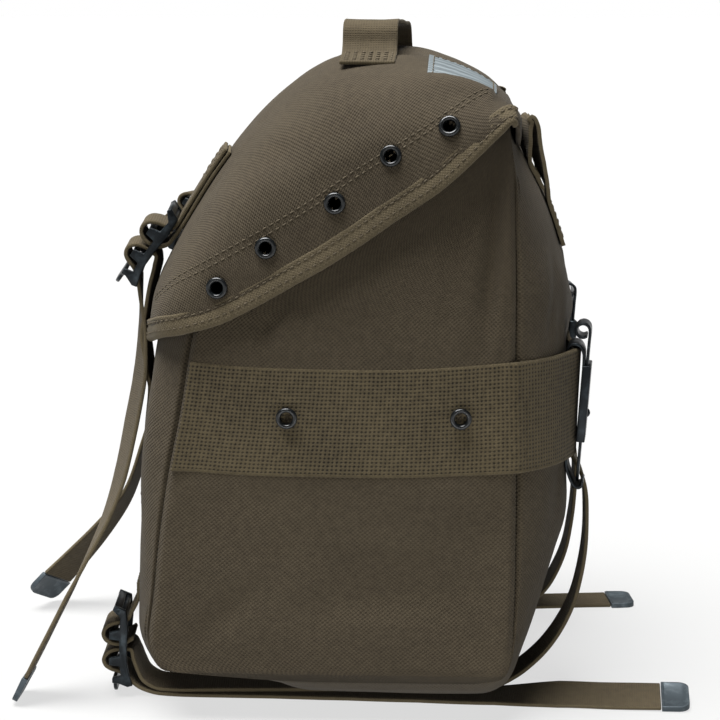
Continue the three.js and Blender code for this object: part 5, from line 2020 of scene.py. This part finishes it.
@dataclass
class BeltClip:
    """A belt clip: a hooked leg behind the band, a fixed sleeve, and a flat bar that slides in it."""

    side: Side
    x: float = 74.0
    yaw: float = 5.2
    tilt: float = 4.0
    middle_z: float = 143.8
    strip: float = 1.2
    strip_width: float = 18.0
    sleeve_at: float = 7.0
    wall: float = 1.1
    cavity: float = 1.9
    sleeve_width: float = 20.0
    slot: float = 15.6
    sleeve_low: float = -18.5
    sleeve_high: float = 17.5
    bar: float = 1.3
    bar_width: float = 15.0
    bar_low: float = -38.6
    bar_high: float = 33.5
    ring: float = 3.2
    ring_step: float = 31.0
    ring_steps: int = 10
    leg: tuple[tuple[float, float], ...] = (
        (6.9, 134), (8.1, 152), (8.75, 163), (8.5, 167.4), (6.5, 170.6), (3.2, 170.9), (1.3, 168.2), (1.2, 160),
        (1.2, 120), (1.5, 113), (2.8, 108.6), (4.8, 104.5), (7, 103.2), (8.6, 104.1), (9, 106.2),
    )

    def stand(self) -> Matrix:
        """The transform that stands the clip on the bag's back."""
        turn = Matrix.Rotation(-self.side.value * math.radians(self.yaw), 4, "Z")
        return Matrix.Translation((self.side.value * self.x, self.seat(), 0)) @ turn

    def seat(self) -> float:
        """The depth of the bag's back behind the clip."""
        return back_y(self.x, self.middle_z)

    def tilted(self) -> Matrix:
        """The sleeve's own frame on the clip."""
        return Matrix.Translation((0, self.sleeve_at, self.middle_z)) @ Matrix.Rotation(
            -math.radians(self.tilt), 4, "X"
        )

    def bent(self, pairs: Sequence[tuple[float, float]], width: float, steps: int) -> Ribbon:
        """A bent strip through (out, up) pairs."""
        return Ribbon([Place(Vector((0, y, z)), Vector((1, 0, 0))) for y, z in pairs], width, steps)

    def build_frame(self) -> None:
        """Model the leg and the sleeve."""
        leg = self.bent(self.leg, self.strip_width, 6).net(4)
        place_mesh(leg.bm, self.stand())
        piece = make_piece(f"keeper_leg_{self.side.word}", leg.bm, BLACK_OXIDE, [f"keeper_frame_{self.side.word}"])
        thicken(piece, self.strip, 0, 0.3)
        depth = 2 * self.wall + self.cavity
        box = lambda half, low, high: [(half, low), (half, high), (-half, high), (-half, low)]
        outer = box(self.sleeve_width / 2, 0, depth)
        inner = box(self.slot / 2, self.wall, self.wall + self.cavity)
        bm = bmesh.new()
        loops = []
        for z in (self.sleeve_low, self.sleeve_high):
            for outline in (outer, inner):
                verts = [bm.verts.new((x, y, z)) for x, y in outline]
                loops.append([bm.edges.new((verts[k], verts[(k + 1) % 4])) for k in range(4)])
        for first, second in ((0, 2), (1, 3), (0, 1), (2, 3)):
            bmesh.ops.bridge_loops(bm, edges=loops[first] + loops[second])
        bmesh.ops.recalc_face_normals(bm, faces=bm.faces[:])
        dimple = Matrix.Translation((0, depth - 1.1, -6))
        bmesh.ops.create_uvsphere(bm, u_segments=14, v_segments=9, radius=2.4, matrix=dimple)
        place_mesh(bm, self.stand() @ self.tilted())
        sleeve = make_piece(f"keeper_sleeve_{self.side.word}", bm, BLACK_OXIDE)
        soften(sleeve, 0.5, 2)

    def build_bar(self) -> None:
        """Model the sliding bar with its curled finger ring and its pointed lower end."""
        middle = self.wall + self.cavity / 2
        low, high = self.bar_low, self.bar_high
        route = [(middle, z) for z in (low, low + 12, high - 8, high)]
        for turn in range(1, self.ring_steps + 1):
            angle = math.radians(self.ring_step * turn)
            route.append((middle - self.ring + self.ring * math.cos(angle), high + self.ring * math.sin(angle)))
        ribbon = self.bent(route, self.bar_width, 5)
        net = ribbon.net(6, taper=lambda along: 0.35 + 0.65 * min(1.0, along / 6) ** 0.6)
        place_mesh(net.bm, self.stand() @ self.tilted())
        name = f"keeper_bar_{self.side.word}"
        piece = make_piece(f"keeper_bar_steel_{self.side.word}", net.bm, BLACK_OXIDE, [name], body=name)
        thicken(piece, self.bar, 0, 0.35)

    def build(self) -> None:
        """Model the whole clip."""
        self.build_frame()
        self.build_bar()


@dataclass
class Studio:
    """A pale floor, soft light from above, and the camera."""

    camera_at: tuple[float, float, float] = (1077.5, 46.6, 322.0)
    swing: float = 2.59
    fall: float = 9.07
    focal_pixels: float = 2166.0
    picture: float = 720.0
    sensor: float = 36.0
    floor_size: float = 200.0
    floor_colours: tuple[str, str] = ("#545453", "#515150")
    floor_spots: float = 1000 / 3
    floor_glow: float = 0.68
    sun_energy: float = 10.0
    sun_spread: float = 45.0
    sun_tilt: tuple[float, float] = (13.0, 5.0)
    wash_energy: float = 0.3
    wash_size: tuple[float, float] = (0.42, 0.03)
    wash_at: tuple[float, float, float] = (0.33, 0.0, 0.03)
    horizon: tuple[float, float] = (0.1, 0.2)
    sky_low: float = 1.0
    sky_high: float = 0.05

    def build_camera(self) -> None:
        """Set the camera that looks at the bag's right side, a little from above."""
        swing, fall = math.radians(self.swing), math.radians(self.fall)
        forward = Vector((-math.cos(swing) * math.cos(fall), -math.sin(swing) * math.cos(fall), -math.sin(fall)))
        right = forward.cross(Vector((0, 0, 1))).normalized()
        up = right.cross(forward)
        data = bpy.data.cameras.new("camera")
        data.sensor_fit = "HORIZONTAL"
        data.sensor_width = self.sensor
        data.lens = self.sensor * self.focal_pixels / self.picture
        data.clip_end = 500.0
        camera = bpy.data.objects.new("camera", data)
        camera.matrix_world = frame_of(right, up, -forward, Vector(self.camera_at) * MM)
        bpy.context.scene.collection.objects.link(camera)
        bpy.context.scene.camera = camera

    def build_floor(self) -> None:
        """Lay a wide pale floor, lit from below as a light table is."""
        material, tree, shader, where = new_material("opal_acrylic")
        share = clouds(tree, where.outputs["Object"], self.floor_spots, 2.0)
        looks = {
            "Base Color": blend(tree, share, *self.floor_colours),
            "Roughness": 0.9,
            "Emission Color": linear_colour("#ffffff"),
            "Emission Strength": self.floor_glow,
        }
        feed(tree, shader, looks)
        bm = bmesh.new()
        bmesh.ops.create_grid(bm, x_segments=4, y_segments=4, size=self.floor_size)
        mesh = bpy.data.meshes.new("floor")
        bm.to_mesh(mesh)
        bm.free()
        mesh.materials.append(material)
        floor = bpy.data.objects.new("floor", mesh)
        bpy.context.scene.collection.objects.link(floor)

    def build_light(self) -> None:
        """Hang a broad soft light overhead, with a pale sky that is brightest at the horizon."""
        sun = bpy.data.lights.new("overhead", "SUN")
        sun.energy = self.sun_energy
        sun.angle = math.radians(self.sun_spread)
        lamp = bpy.data.objects.new("overhead", sun)
        lamp.rotation_euler = (*map(math.radians, self.sun_tilt), 0)
        bpy.context.scene.collection.objects.link(lamp)
        low = bpy.data.lights.new("low_wash", "AREA")
        low.shape = "RECTANGLE"
        low.size, low.size_y = self.wash_size
        low.energy = self.wash_energy
        wash = bpy.data.objects.new("low_wash", low)
        wash.location = self.wash_at
        wash.rotation_euler = (math.radians(90), 0, math.radians(90))
        wash.visible_camera = False
        bpy.context.scene.collection.objects.link(wash)
        world = bpy.data.worlds.new("studio")
        world.use_nodes = True
        tree = world.node_tree
        tree.nodes.clear()
        where = add_node(tree, "ShaderNodeTexCoord", {})
        parts = add_node(tree, "ShaderNodeSeparateXYZ", {0: where.outputs["Generated"]})
        level = ramp(tree, parts.outputs[2], *self.horizon, self.sky_low, self.sky_high)
        sky = add_node(tree, "ShaderNodeBackground", {"Color": (1, 1, 1, 1), "Strength": level})
        add_node(tree, "ShaderNodeOutputWorld", {"Surface": sky.outputs[0]})
        bpy.context.scene.world = world
        bpy.context.scene.view_settings.view_transform = "Standard"

    def build(self) -> None:
        """Set the whole studio."""
        self.build_camera()
        self.build_floor()
        self.build_light()


def main() -> None:
    """Build the studio and then the bag, piece by piece."""
    logging.basicConfig(level=logging.INFO, format="%(name)s %(message)s")
    Studio().build()
    shell = BodyShell()
    shell.build()
    lid_stitches = Stitching("lid_stitches")
    Lid().build(lid_stitches)
    lid_stitches.build()
    strap_stitches = Stitching("strap_stitches")
    WebbingBand(shell).build()
    SuspenderLoops().build(strap_stitches)
    for side in Side:
        BuckledStraps(side).build(strap_stitches)
        BeltClip(side).build()
    strap_stitches.build()


if __name__ == "__main__":
    main()
